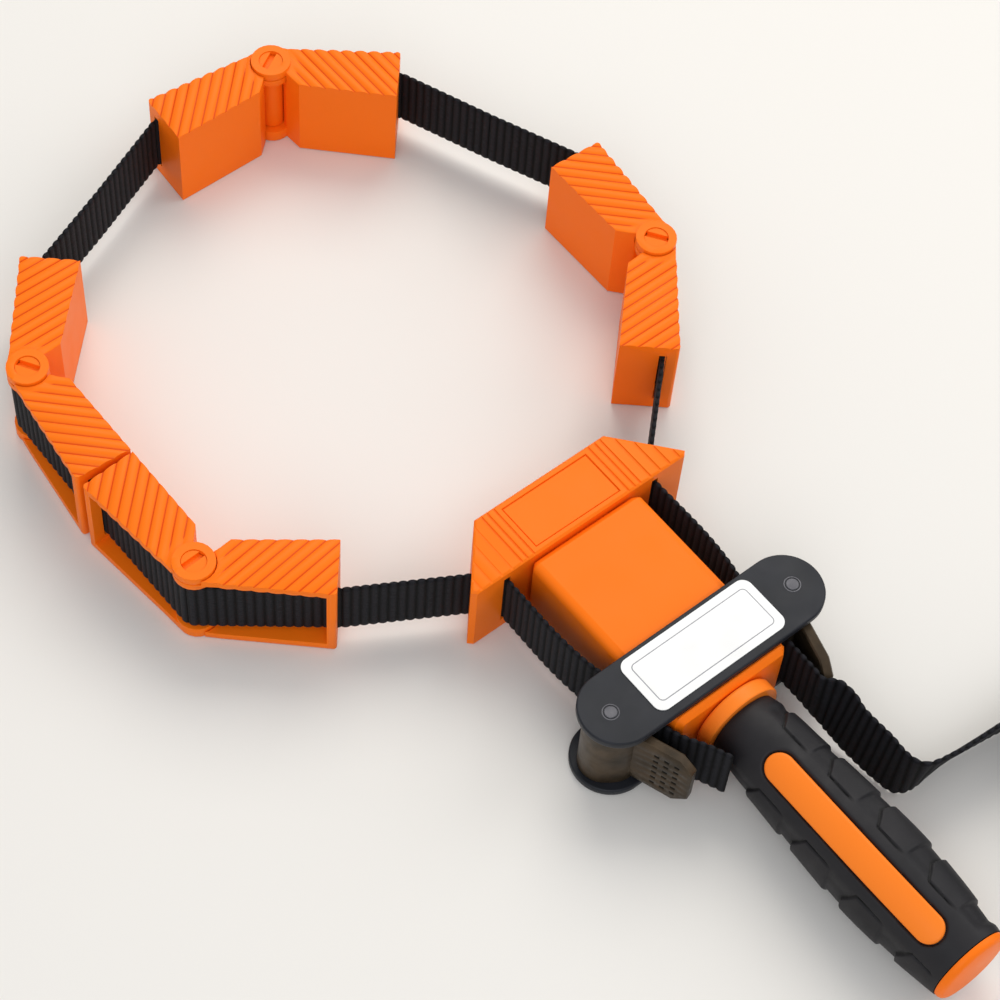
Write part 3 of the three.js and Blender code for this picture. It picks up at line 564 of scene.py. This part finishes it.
def strapInHalf(name, side):
    # round the pin from the jaw's middle line, then along the half to its end
    wrap, across, reach = jaw["wrapRadius"], jaw["slotAcross"], jaw["reach"]
    middle = (halfDirection(name, 1) - halfDirection(name, -1)) / 2
    touch = math.atan2(across, reach) + math.acos(wrap / math.hypot(reach, across))
    turn = arcPoints((0, 0), wrap, middle, touch, strap["wrapSteps"])
    points = [halfToWorld(name, side, p) for p in turn] + [exitPoint(name, side)]
    body = halfBody(name, side)
    node = name + "_strap_" + body.rsplit("_", 1)[1]
    piece = ribbon("strapIn_" + body, flatRoute(points), None, node)
    blended(piece)


def split(points):
    # cuts a route in two halves of equal length
    lengths = [0]
    for a, b in zip(points, points[1:]):
        lengths.append(lengths[-1] + math.dist(a, b))
    middle = lengths[-1] / 2
    k = bisect.bisect_right(lengths, middle) - 1
    share = (middle - lengths[k]) / (lengths[k + 1] - lengths[k])
    cut = tuple(Vector(points[k]).lerp(Vector(points[k + 1]), share))
    return points[:k + 1] + [cut], [cut] + points[k + 1:]


def jawSpan(name, node, points):
    # one stretch from the jaw that it leaves
    piece = ribbon(name, flatRoute(points), None, node)
    blended(piece)


def spanBetween(label, node, first, last, corner=None):
    # from one jaw's half to another's, round the corner of the loop between them if there is one
    start, end = exitPoint(*first), exitPoint(*last)
    points = [start, end]
    if corner is not None:
        angle = cornerAngle(corner)
        out = loop["corner"] + strap["thickness"] / 2
        spot = (loop["centre"][0] + out * math.cos(angle), loop["centre"][1] + out * math.sin(angle))
        points = [start] + bendPoints(start, spot, end, strap["bendRadius"]) + [end]
    near, far = split(points)
    jawSpan(label + "A", node, near)
    jawSpan(label + "B", node, far)


wing = {"aside": 32, "turnAt": 7.8, "rear": 11.6, "radius": 4}


def wingSpan(label, node, name, side):
    # from a jaw's half into the head's slot on the other side of that half
    start = exitPoint(name, side)
    turn, rear = ((x, -side * wing["aside"]) for x in (wing["turnAt"], wing["rear"]))
    points = [start] + bendPoints(start, turn, rear, wing["radius"]) + [rear]
    jawSpan(label + "A", node, points)


for name in jaws:
    strapInHalf(name, 1)
    strapInHalf(name, -1)
wingSpan("spanFrontLeft", "strap_span_front_left", "jaw_left_near", 1)
wingSpan("spanFrontRight", "strap_span_front_right", "jaw_right_near", -1)
spanBetween("spanLeft", "strap_span_left", ("jaw_left_far", -1), ("jaw_right_far", 1), -4)
spanBetween("spanBack", "strap_span_back", ("jaw_right_far", -1), ("jaw_right_near", 1), 2)
# the two left jaws stand end to end, and this stretch lies between them
spanBetween("spanTouch", None, ("jaw_left_far", 1), ("jaw_left_near", -1))
print("strap round the loop made")

# the strap from the head past the levers: places along the tool and out from its middle
sideRun = {
    "knots": ((11.9, 32), (40, 32), (55, 30.2), (64, 27.3), (66.3, 26.5), (72, 26.5)),
    "steps": 60,
    "blendFrom": (16, 32),
    "blendTo": (62, 28),
}


def catmull(points, t):
    # the centripetal curve through the points that the solids' strap follows too
    spans = len(points) - 1
    k = min(int(t * spans), spans - 1)
    share = t * spans - k
    spots = [Vector(p) for p in points]
    ghostStart = spots[0] * 2 - spots[1]
    ghostEnd = spots[-1] * 2 - spots[-2]
    p0 = spots[k - 1] if k > 0 else ghostStart
    p1, p2 = spots[k], spots[k + 1]
    p3 = spots[k + 2] if k + 2 < len(spots) else ghostEnd
    d0, d1, d2 = (max((b - a).length_squared ** 0.25, 1e-4) for a, b in ((p0, p1), (p1, p2), (p2, p3)))
    t1 = ((p1 - p0) / d0 - (p2 - p0) / (d0 + d1) + (p2 - p1) / d1) * d1
    t2 = ((p2 - p1) / d1 - (p3 - p1) / (d1 + d2) + (p3 - p2) / d2) * d1
    c2 = p1 * -3 + p2 * 3 - t1 * 2 - t2
    c3 = p1 * 2 - p2 * 2 + t1 + t2
    return p1 + t1 * share + c2 * share ** 2 + c3 * share ** 3


def smoothRoute(knots, steps):
    # knots of x, y, z and lean
    places = [k[:3] for k in knots]
    route = []
    for i in range(steps + 1):
        t = i / steps
        spot = catmull(places, t)
        k = min(int(t * (len(knots) - 1)), len(knots) - 2)
        share = t * (len(knots) - 1) - k
        route.append(tuple(spot) + (knots[k][3] + (knots[k + 1][3] - knots[k][3]) * share,))
    return route


for hand, side in (("Left", -1), ("Right", 1)):
    knots = [(x, side * y, axisHeight, 0) for x, y in sideRun["knots"]]
    route = smoothRoute(knots, sideRun["steps"])
    piece = ribbon("sideRun" + hand, route, None, "strap_run_" + hand.lower())
    blended(piece)

# the loose ends past the levers: place along the tool, how far out of the pinch, height and lean
tails = {
    "pinch": 26.5,
    "left": ((72.3, 0, 18, 0), (82, 0, 18, 0), (90, -2.4, 18, 0), (98, -7, 18, 0), (106, -10.6, 18, 0)),
    "leftSteps": 60,
    "right": (
        (72.3, 0, 18, 0), (82, 0.1, 18, 0), (97, 0, 18, 0), (102, 0, 17.5, 0), (107, 2.4, 16.2, 12),
        (112, 3.2, 14.8, 13), (117, 3, 13.8, 10), (130, 4, 12.8, 9), (138, 4.9, 12.6, 4),
        (142.4, 9, 12.6, -8), (143.4, 21.5, 12.3, -18), (145.5, 42.5, 12.4, -14), (147, 63.5, 12.6, -6),
        (147, 85.2, 12.5, 0),
    ),
    "rightSteps": 160,
}


def tail(name, node, side, knots, steps):
    knots = [(x, side * (tails["pinch"] + out), z, lean) for x, out, z, lean in knots]
    ribbon(name, smoothRoute(knots, steps), "carriage", node)


tail("tailLeft", "strap_tail_left", -1, tails["left"], tails["leftSteps"])
tail("tailRight", "strap_tail_right", 1, tails["right"], tails["rightSteps"])

roll = {
    "centre": (193.99, 112),
    "outer": 46.99,
    "pitch": 2.1,
    "turns": 16,
    "stepsPerTurn": 72,
    "height": 12.5,
}


def rollRoute():
    points = []
    for i in range(roll["turns"] * roll["stepsPerTurn"] + 1):
        turn = i / roll["stepsPerTurn"]
        reach = roll["outer"] - roll["pitch"] * turn
        angle = math.pi - 2 * math.pi * turn
        x, y = roll["centre"][0] + reach * math.cos(angle), roll["centre"][1] + reach * math.sin(angle)
        points.append((x, y, roll["height"], 0))
    return points


ribbon("strapRoll", rollRoute(), "carriage", "strap_roll", strap["rollRibSteps"])
print("loose ends and roll made")


# jaws

ribs = {
    "pitch": 5.4,
    "valley": 7,
    "depth": 0.75,
    "numbers": range(-3, 12),
    # share of the pitch from one valley, then share of the depth
    "shape": ((0, 1), (0.1, 0.6), (0.25, 0.18), (0.5, 0), (0.75, 0.18), (0.9, 0.6), (1, 1)),
    # the ribs fade out towards the pin, with extra cuts there to bend on
    "fadeFrom": 7.9,
    "fadeOver": 2.2,
    "fadeCuts": (8.6, 10.4, 13),
    # the outer edge as two places of along and across, the waves on it, and their share kept at the top
    "edge": ((8, 8), (45.3, 12)),
    "waves": (0.02, 0.95),
    "edgeWaves": 0.4,
    "rounding": 0.35,
    "topBand": (0.5, 0.05),  # how far below and above its height counts as a half's top
}


def ribDepth(place):
    share = ((place - ribs["valley"]) / ribs["pitch"]) % 1
    for (a, low), (b, high) in zip(ribs["shape"], ribs["shape"][1:]):
        if share <= b:
            return low + (high - low) * (share - a) / (b - a)
    return 1


def ribbedHalf(name, side):
    # a half whose plain grooves become rounded ribs that run across its top at 45 degrees
    body = halfBody(name, side)
    bm = bmesh.new()
    bm.from_mesh(nodes[body + "_half"].data)
    for vert in bm.verts:
        if atLevel(vert.co, jaw["grooveFloor"]):
            vert.co.z = jaw["height"] * mm
    mergeFlat(bm)
    groove = bm.verts.layers.float.new("groove")
    direction = halfDirection(name, side)
    along = Vector((math.cos(direction), math.sin(direction), 0))
    across = Vector((side * math.sin(direction), -side * math.cos(direction), 0))
    pin = Vector(pinPoint(name) + (0,)) * mm
    (start, low), (end, high) = ribs["edge"]
    for vert in bm.verts:
        # the outer edge's waves flatten, and go from the plate below
        u, v = ((vert.co - pin).dot(axis) / mm for axis in (along, across))
        short = low + (high - low) * (u - start) / (end - start) - v
        if start - 0.1 < u < end + 0.1 and ribs["waves"][0] < short < ribs["waves"][1]:
            kept = ribs["edgeWaves"] if vert.co.z / mm > axisHeight else 0
            vert.co += across * (short * (1 - kept) * mm)
    bmesh.ops.dissolve_limit(bm, angle_limit=flatAngle, verts=bm.verts, edges=bm.edges)
    roundEdges(bm, ribs["rounding"], 2)

    def nearTop(vert):
        above = vert.co.z / mm - jaw["height"]
        return -ribs["topBand"][0] < above < ribs["topBand"][1]

    def cutTop(place, normal):
        faces = [f for f in bm.faces if all(nearTop(v) for v in f.verts)]
        cutFaces(bm, faces, pin + along * (place * mm), normal)

    for i in ribs["numbers"]:
        for share, _ in ribs["shape"][:-1]:
            cutTop(ribs["valley"] + ribs["pitch"] * (i + share), along + across)
    for place in ribs["fadeCuts"]:
        cutTop(place, along)
    top = [v for v in bm.verts if nearTop(v)]
    inside = [all(nearTop(v) for f in vert.link_faces for v in f.verts) for vert in top]
    for vert, onTop in zip(top, inside):
        offset = (vert.co - pin).to_2d().to_3d()
        fade = min(max((offset.length / mm - ribs["fadeFrom"]) / ribs["fadeOver"], 0), 1)
        share = ribDepth(offset.dot(along + across) / mm) * fade
        # painted shade: each rib valley is darkened by its depth
        vert[groove] = share if onTop else 0  # none where a vertical face would smear it
        vert.co.z -= share * ribs["depth"] * mm
    finishPiece(body + "Shell", bm, body, orange, (body + "_half",), flatOver=60)


pinHead = {"low": 35, "rim": 4, "wider": 0.18, "slotFloor": 35.7, "deeper": 0.45, "rounding": 0.15}


def slottedPin(name):
    # a wider head and a deeper slot than the plain pin's
    bm = copyNode(name + "_pin")
    middle = Vector(pinPoint(name) + (0,)) * mm
    for vert in bm.verts:
        offset = (vert.co - middle).to_2d()
        if atLevel(vert.co, pinHead["slotFloor"]):
            vert.co.z -= pinHead["deeper"] * mm
        elif vert.co.z / mm > pinHead["low"] and offset.length / mm > pinHead["rim"]:
            vert.co += (offset.normalized() * (pinHead["wider"] * mm)).to_3d()
    roundEdges(bm, pinHead["rounding"], 2)
    finishPiece(name + "_screw", bm, name + "_eared", orange, (name + "_pin",), flatOver=8)


for name in jaws:
    ribbedHalf(name, 1)
    ribbedHalf(name, -1)
    slottedPin(name)
print("jaws made")


# head and screw

head = {
    "top": 34.5,
    "panelFloor": 33.6,
    "panelLine": 0.55,
    "panelEdge": 0.12,
    "panelRise": 0.6,
    "shingles": (29.9, 34.2, 38.5, 42.8),
    "grooveHalf": 0.4,
    "shingleDrop": 0.35,
    "rounding": 0.3,
}


def headShell():
    bm = copyNode("head_block")
    facesUp = [f for f in bm.faces if f.normal.z > 0.99]
    panel = [f for f in facesUp if atLevel(f.calc_center_median(), head["panelFloor"])]
    for width in (head["panelLine"], head["panelEdge"]):
        bmesh.ops.inset_region(bm, faces=panel, thickness=width * mm)
    raised = {v for f in panel for v in f.verts}
    bmesh.ops.translate(bm, verts=list(raised), vec=(0, 0, head["panelRise"] * mm))
    for vert in bm.verts:
        # each strip of a wing slopes down to the next groove, like a shingle
        end = abs(vert.co.y / mm) + head["grooveHalf"]
        if atLevel(vert.co, head["top"]) and any(abs(end - place) < 0.05 for place in head["shingles"]):
            vert.co.z -= head["shingleDrop"] * mm
    roundEdges(bm, head["rounding"], 2)
    finishPiece("headShell", bm, "head", orange, ("head_block",), flatOver=40)


headShell()
for name in ("spindle_nut", "thrust_washer", "spindle"):
    paint(name, zinc)


# housing, plates, label and rivets

housing = {"ends": (15, 85.9), "endRounding": 0.75, "rounding": 0.35}


def housingShell():
    bm = copyNode("housing")
    front, rear = (end * mm for end in housing["ends"])
    roundEdges(
        bm, housing["endRounding"], 3, 30, lambda e: all(v.co.x < front or v.co.x > rear for v in e.verts),
    )
    roundEdges(bm, housing["rounding"], 2, 40)
    finishPiece("housingShell", bm, "carriage", orange, ("housing",), flatOver=200)


housingShell()

plates = {
    "centre": 72, "pitch": 39, "endInset": 3.2, "radius": 13.5, "thickness": 3, "edge": 0.6,
    "arcSteps": 32, "topLow": 33, "bottomLow": 0,
}


def crossPlate(name, node, low):
    bm = bmesh.new()
    end = plates["pitch"] - plates["endInset"]
    outline = arcPoints((plates["centre"], end), plates["radius"], 0, math.pi, plates["arcSteps"])
    outline += arcPoints((plates["centre"], -end), plates["radius"], math.pi, 2 * math.pi, plates["arcSteps"])
    raiseOutline(bm, outline, low, low + plates["thickness"])
    rims = [e for e in bm.edges if abs(e.verts[0].co.z - e.verts[1].co.z) < weld["fine"]]
    bmesh.ops.bevel(
        bm, geom=rims, offset=plates["edge"] * mm, segments=3, profile=0.5, affect="EDGES", material=-1,
    )
    finishPiece(name, bm, "carriage", blackCoat, (node,), flatOver=200)


crossPlate("topPlate", "top_plate", plates["topLow"])
crossPlate("bottomPlate", "bottom_plate", plates["bottomLow"])

label = {
    "centre": (71.3, 0.7),
    "half": (11.1, 27.5),
    "low": 36.05,
    "high": 36.45,
    # the inset, corner radius and drop below the top of the edge and of the two sides of the thin grey line
    "layers": ((0, 3.6, 0.03), (2.9, 1.9, 0.015), (3.25, 1.55, 0)),
    "cornerSteps": 10,
}


def roundedOutline(centre, halfX, halfY, radius, steps):
    points = []
    for i, (sx, sy) in enumerate(((1, 1), (-1, 1), (-1, -1), (1, -1))):
        middle = (centre[0] + sx * (halfX - radius), centre[1] + sy * (halfY - radius))
        points += arcPoints(middle, radius, i * math.pi / 2, (i + 1) * math.pi / 2, steps)
    return points


def labelPlate():
    bm = bmesh.new()
    for index, (inset, corner, drop) in enumerate(label["layers"]):
        halfX, halfY = (half - inset for half in label["half"])
        before = set(bm.faces)
        outline = roundedOutline(label["centre"], halfX, halfY, corner, label["cornerSteps"])
        raiseOutline(bm, outline, label["low"], label["high"] - drop)
        for face in set(bm.faces) - before:
            face.material_index = index % 2
    looks = (labelFace, labelLine)
    finishPiece("labelPlate", bm, "carriage", looks, ("label_plate",), flatOver=1)


labelPlate()

rivet = {
    "steps": 48,
    # radius and height
    "profile": (
        (0, 0.3), (3.05, 0.3), (3.05, 35.95), (2.9, 36.15), (2.6, 36.15), (2.6, 35.75),
        (2.15, 35.75), (2.15, 36.15), (2, 36.25), (0, 36.25),
    ),
}
for hand, side in (("Left", -1), ("Right", 1)):
    spot = (plates["centre"], side * plates["pitch"], 0)
    bm = turnedShape(rivet["profile"], spot, (0, 0, 1), rivet["steps"])
    finishPiece("rivet" + hand, bm, "carriage", rivetSteel, (hand.lower() + "_pin",))
print("housing, plates and label made")


# levers

lever = {"rounding": 0.3, "shortestEdge": 2.2}

dimples = {
    "from": 17.6, "pitchAlong": 3.7, "columns": 3, "low": 8.2, "pitchUp": 3.5, "rows": 6,
    "wide": 1.9, "tall": 1.5, "depth": 0.5, "slope": 0.15,
}


def leverShell(hand, side):
    # the thumb's face is the outer one of the two broadest upright faces
    node = hand + "_lever"
    bm = copyNode(node)
    upright = sorted((f for f in bm.faces if abs(f.normal.z) < 0.1), key=lambda f: -f.calc_area())
    thumb = max(upright[:2], key=lambda f: side * f.normal.y)
    spot = thumb.calc_center_median()
    outward = thumb.normal.copy()
    up = Vector((0, 0, 1))
    along = up.cross(outward)
    along *= 1 if along.x > 0 else -1
    pivot = Vector((plates["centre"], side * plates["pitch"], 0)) * mm
    columns = [dimples["from"] + dimples["pitchAlong"] * i for i in range(dimples["columns"])]
    rows = [dimples["low"] + dimples["pitchUp"] * i for i in range(dimples["rows"])]
    wide, tall = dimples["wide"], dimples["tall"]

    def inThumb(face):
        near = abs((face.calc_center_median() - spot).dot(outward)) < 0.05 * mm
        return near and face.normal.dot(outward) > 0.999

    lines = [(pivot + along * (place * mm), along) for first in columns for place in (first, first + wide)]
    lines += [(up * (place * mm), up) for first in rows for place in (first, first + tall)]
    for point, normal in lines:
        cutFaces(bm, [f for f in bm.faces if inThumb(f)], point, normal)
    cells = []
    for face in bm.faces:
        middle = face.calc_center_median()
        reach = (middle - pivot).dot(along) / mm
        inColumn = any(first < reach < first + wide for first in columns)
        inRow = any(first < middle.z / mm < first + tall for first in rows)
        if inColumn and inRow and inThumb(face):
            cells.append(face)
    bmesh.ops.inset_individual(
        bm, faces=cells, thickness=dimples["slope"] * mm, depth=-dimples["depth"] * mm,
    )
    # painted shade: the dimples' floors are marked to be painted near black
    groove = bm.verts.layers.float.new("groove")
    for vert in {v for f in cells for v in f.verts}:
        vert[groove] = 1

    def rounded(edge):
        longEnough = edge.calc_length() > lever["shortestEdge"] * mm
        return longEnough and not any(inThumb(f) for f in edge.link_faces)

    roundEdges(bm, lever["rounding"], 2, 50, rounded)
    finishPiece(hand + "LeverShell", bm, node, brownCoat, (node,), flatOver=120)
    print(hand, "lever made with", len(cells), "dimples")


leverShell("left", -1)
leverShell("right", 1)


# handle

handle = {
    "start": 94.8,
    "end": 200,
    "radii": (12.5, 14.5, 15.4, 16.8, 17.7, 16.7, 14.9, 14.2),
    "shares": (0, 0.088, 0.22, 0.42, 0.63, 0.81, 0.953, 1),
    "profileSteps": 24,
    "lengthSteps": 300,
    "roundSteps": 300,
    "turnSteps": 96,
}

# the sleeve's two stadium windows, one opposite the other
window = {
    "from": 113,
    "to": 192,
    "half": 5.25,
    "roll": 29,
    "gap": 0.3,
    "flat": 0.25,  # how far past the gap its sunk floor goes
    "depth": 1.4,
    "lip": 0.95,
    "lipDrop": 0.55,
    "widest": 1.2,  # radians from its middle line, past which nothing is cut for it
}

# the orange inlays in the windows
inlays = {
    "rise": 0.25,
    "endGap": 0.02,
    "rim": 0.8,
    "rimDrop": 0.5,
    "depth": 2.5,
    "longSteps": 180,
    "wideSteps": 24,
}

# the flanks' raised pads, and the cut line that runs along each one's front and side
pads = {
    "left": (113, 136, 160, 184),  # where the pads start on either flank
    "right": (104, 126, 149, 172),
    "length": 17,
    "step": 1.05,
    "inner": 5.6,  # from the window's side to the pads
    "flank": (4.5, 10),  # where the ground between the pads starts to sink, and is all sunk
    "fadeIn": (99, 102),
    "fadeOut": (195, 198),
    "slant": 4.5,  # how much later a pad starts beside the window
    "slantOver": 6.5,
    "frontSlope": 0.5,
    "rearSlope": 0.9,
    "sideSlope": 0.5,
    "sideStart": 0.4,
    "cutDepth": 0.7,
    "cutAside": 0.3,
    "cutSlant": 0.82,
    "cutHalf": (0.15, 0.6),  # half its width at its floor and at its rim
    "cutFade": (7.8, 13),  # where the line along the side fades out
}


def profileTable():
    knots = [
        Vector((handle["start"] + (handle["end"] - handle["start"]) * share, radius))
        for share, radius in zip(handle["shares"], handle["radii"])
    ]
    table = []
    last = len(knots) - 1
    for k in range(last):
        p0, p1, p2, p3 = knots[max(k - 1, 0)], knots[k], knots[k + 1], knots[min(k + 2, last)]
        v0, v1 = (p2 - p0) / 2, (p3 - p1) / 2
        c2 = p2 * 3 - p1 * 3 - v0 * 2 - v1
        c3 = p1 * 2 - p2 * 2 + v0 + v1
        for i in range(handle["profileSteps"]):
            t = i / handle["profileSteps"]
            table.append(c3 * t ** 3 + c2 * t ** 2 + v0 * t + p1)
    table.append(knots[-1])
    return [tuple(p) for p in table]


gripTable = profileTable()
gripPlaces = [x for x, _ in gripTable]


def gripRadius(x):
    k = min(max(bisect.bisect_right(gripPlaces, x) - 1, 0), len(gripTable) - 2)
    (x0, r0), (x1, r1) = gripTable[k], gripTable[k + 1]
    return r0 + (r1 - r0) * (x - x0) / (x1 - x0)


def windowDistance(x, across):
    # how far a place on the grip stands outside the window's outline
    half = window["half"] + window["gap"]
    low, high = window["from"] - window["gap"] + half, window["to"] + window["gap"] - half
    return math.hypot(x - min(max(x, low), high), across) - half


def handlePoint(x, radius, angle):
    # angle is measured round the axis from straight up towards -Y
    return Vector((x, -radius * math.sin(angle), axisHeight + radius * math.cos(angle))) * mm


def smooth(value, low, high):
    share = min(max((value - low) / (high - low), 0), 1)
    return share * share * (3 - 2 * share)


def padRelief(x, fromWindow, starts):
    # how far a flank stands below the grip's profile, and how deep in a cut line it is, which also sets the
    # painted shade there
    aside = fromWindow - pads["inner"]
    slant = pads["slant"] * (1 - min(max(aside / pads["slantOver"], 0), 1))
    raised = cut = 0
    for start in starts:
        ahead = x - start - slant
        behind = start + pads["length"] - x
        fromSide = (aside + pads["sideStart"]) / pads["sideSlope"]
        inside = min(ahead / pads["frontSlope"], behind / pads["rearSlope"], fromSide)
        raised = max(raised, smooth(inside, 0, 1))
        knee = x - start - pads["slant"]
        if aside > -pads["cutAside"]:
            cut = max(cut, 1 - smooth(abs(ahead + pads["cutAside"]) * pads["cutSlant"], *pads["cutHalf"]))
        if knee > -pads["cutAside"]:
            fade = 1 - smooth(knee, *pads["cutFade"])
            cut = max(cut, fade * (1 - smooth(abs(aside + pads["cutAside"]), *pads["cutHalf"])))
    lowered = pads["step"] * smooth(fromWindow, *pads["flank"]) * (1 - raised)
    return max(lowered, pads["cutDepth"] * cut), cut


def gripSleeve():
    bm = bmesh.new()
    groove = bm.verts.layers.float.new("groove")
    bmesh.ops.create_grid(bm, x_segments=handle["lengthSteps"], y_segments=handle["roundSteps"], size=0.5)
    for vert in bm.verts:
        x = handle["start"] + (handle["end"] - handle["start"]) * (vert.co.x + 0.5)
        angle = 2 * math.pi * (vert.co.y + 0.5)
        radius = gripRadius(x)
        turned = (angle - window["roll"] * degree + math.pi / 2) % math.pi - math.pi / 2
        fromWindow = radius * abs(turned) - window["half"]
        starts = pads["left" if (angle / degree - window["roll"]) % 360 < 180 else "right"]
        fade = smooth(x, *pads["fadeIn"]) * (1 - smooth(x, *pads["fadeOut"]))
        # painted shade: the cut lines' depth also marks them to be painted near black
        relief, vert[groove] = (value * fade for value in padRelief(x, fromWindow, starts))
        if abs(turned) < window["widest"]:
            past = windowDistance(x, radius * math.sin(turned)) - window["flat"]
            if past < 0:
                radius -= window["depth"]
            elif past < window["lip"]:
                radius -= window["lipDrop"] * (1 - past / window["lip"]) ** 2
        vert.co = handlePoint(x, radius - relief, angle)
    closeTube(bm)
    finishPiece("gripSleeve", bm, "handle", rubber, ("grip_sleeve",), sharp=60)


def inlay(name, turn):
    # one orange window in the sleeve, a curved stadium with a soft rim
    bm = bmesh.new()
    bmesh.ops.create_grid(bm, x_segments=inlays["longSteps"], y_segments=inlays["wideSteps"], size=0.5)
    half = window["half"]
    low, high = window["from"] + inlays["endGap"], window["to"] - inlays["endGap"]
    for vert in bm.verts:
        share = (1 - math.cos(math.pi * (vert.co.x + 0.5))) / 2
        x = low + (high - low) * share
        past = max(window["from"] + half - x, x - window["to"] + half, 0)
        across = math.sin(math.pi * vert.co.y) * math.sqrt(max(half ** 2 - past ** 2, 0.01))
        radius = gripRadius(x) + inlays["rise"]
        angle = math.asin(across / radius)
        edge = half - math.hypot(past, across)
        radius -= inlays["rimDrop"] * max(0, 1 - edge / inlays["rim"]) ** 2
        vert.co = handlePoint(x, radius, angle + turn)
    rim = [e for e in bm.edges if e.is_boundary]
    made = bmesh.ops.extrude_edge_only(bm, edges=rim)
    sunk = [v for v in made["geom"] if isinstance(v, bmesh.types.BMVert)]
    inward = handlePoint(0, 0, 0) - handlePoint(0, 1, turn)
    bmesh.ops.translate(bm, verts=sunk, vec=inward * inlays["depth"])
    bmesh.ops.holes_fill(bm, edges=[e for e in bm.edges if e.is_boundary], sides=0)
    finishPiece(name, bm, "handle", inlayOrange, ("handle_core",), sharp=50)


gripSleeve()
inlay("inlayUpper", window["roll"] * degree)
inlay("inlayLower", window["roll"] * degree + math.pi)

# radius and place along the screw's axis
collar = (
    (0, 88.9), (13.9, 88.9), (14.7, 89.15), (15.1, 89.7), (15.2, 90.2), (15.2, 94.1), (14.9, 94.5),
    (10.4, 94.5), (10.4, 200), (0, 200),
)
cap = (
    (0, 188), (4.6, 188), (4.6, 200.3), (13.9, 200.3), (13.9, 201.4), (13.5, 202.3), (12.7, 202.9),
    (11.8, 203.1), (0, 203.1),
)
for name, profile, material, node in (
    ("handleCore", collar, inlayOrange, "handle_core"),
    ("endCap", cap, orange, "end_cap"),
):
    bm = turnedShape(profile, (0, 0, axisHeight), (1, 0, 0), handle["turnSteps"])
    finishPiece(name, bm, "handle", material, (node,))
print("handle made")

makeCamera()
makeStudio()
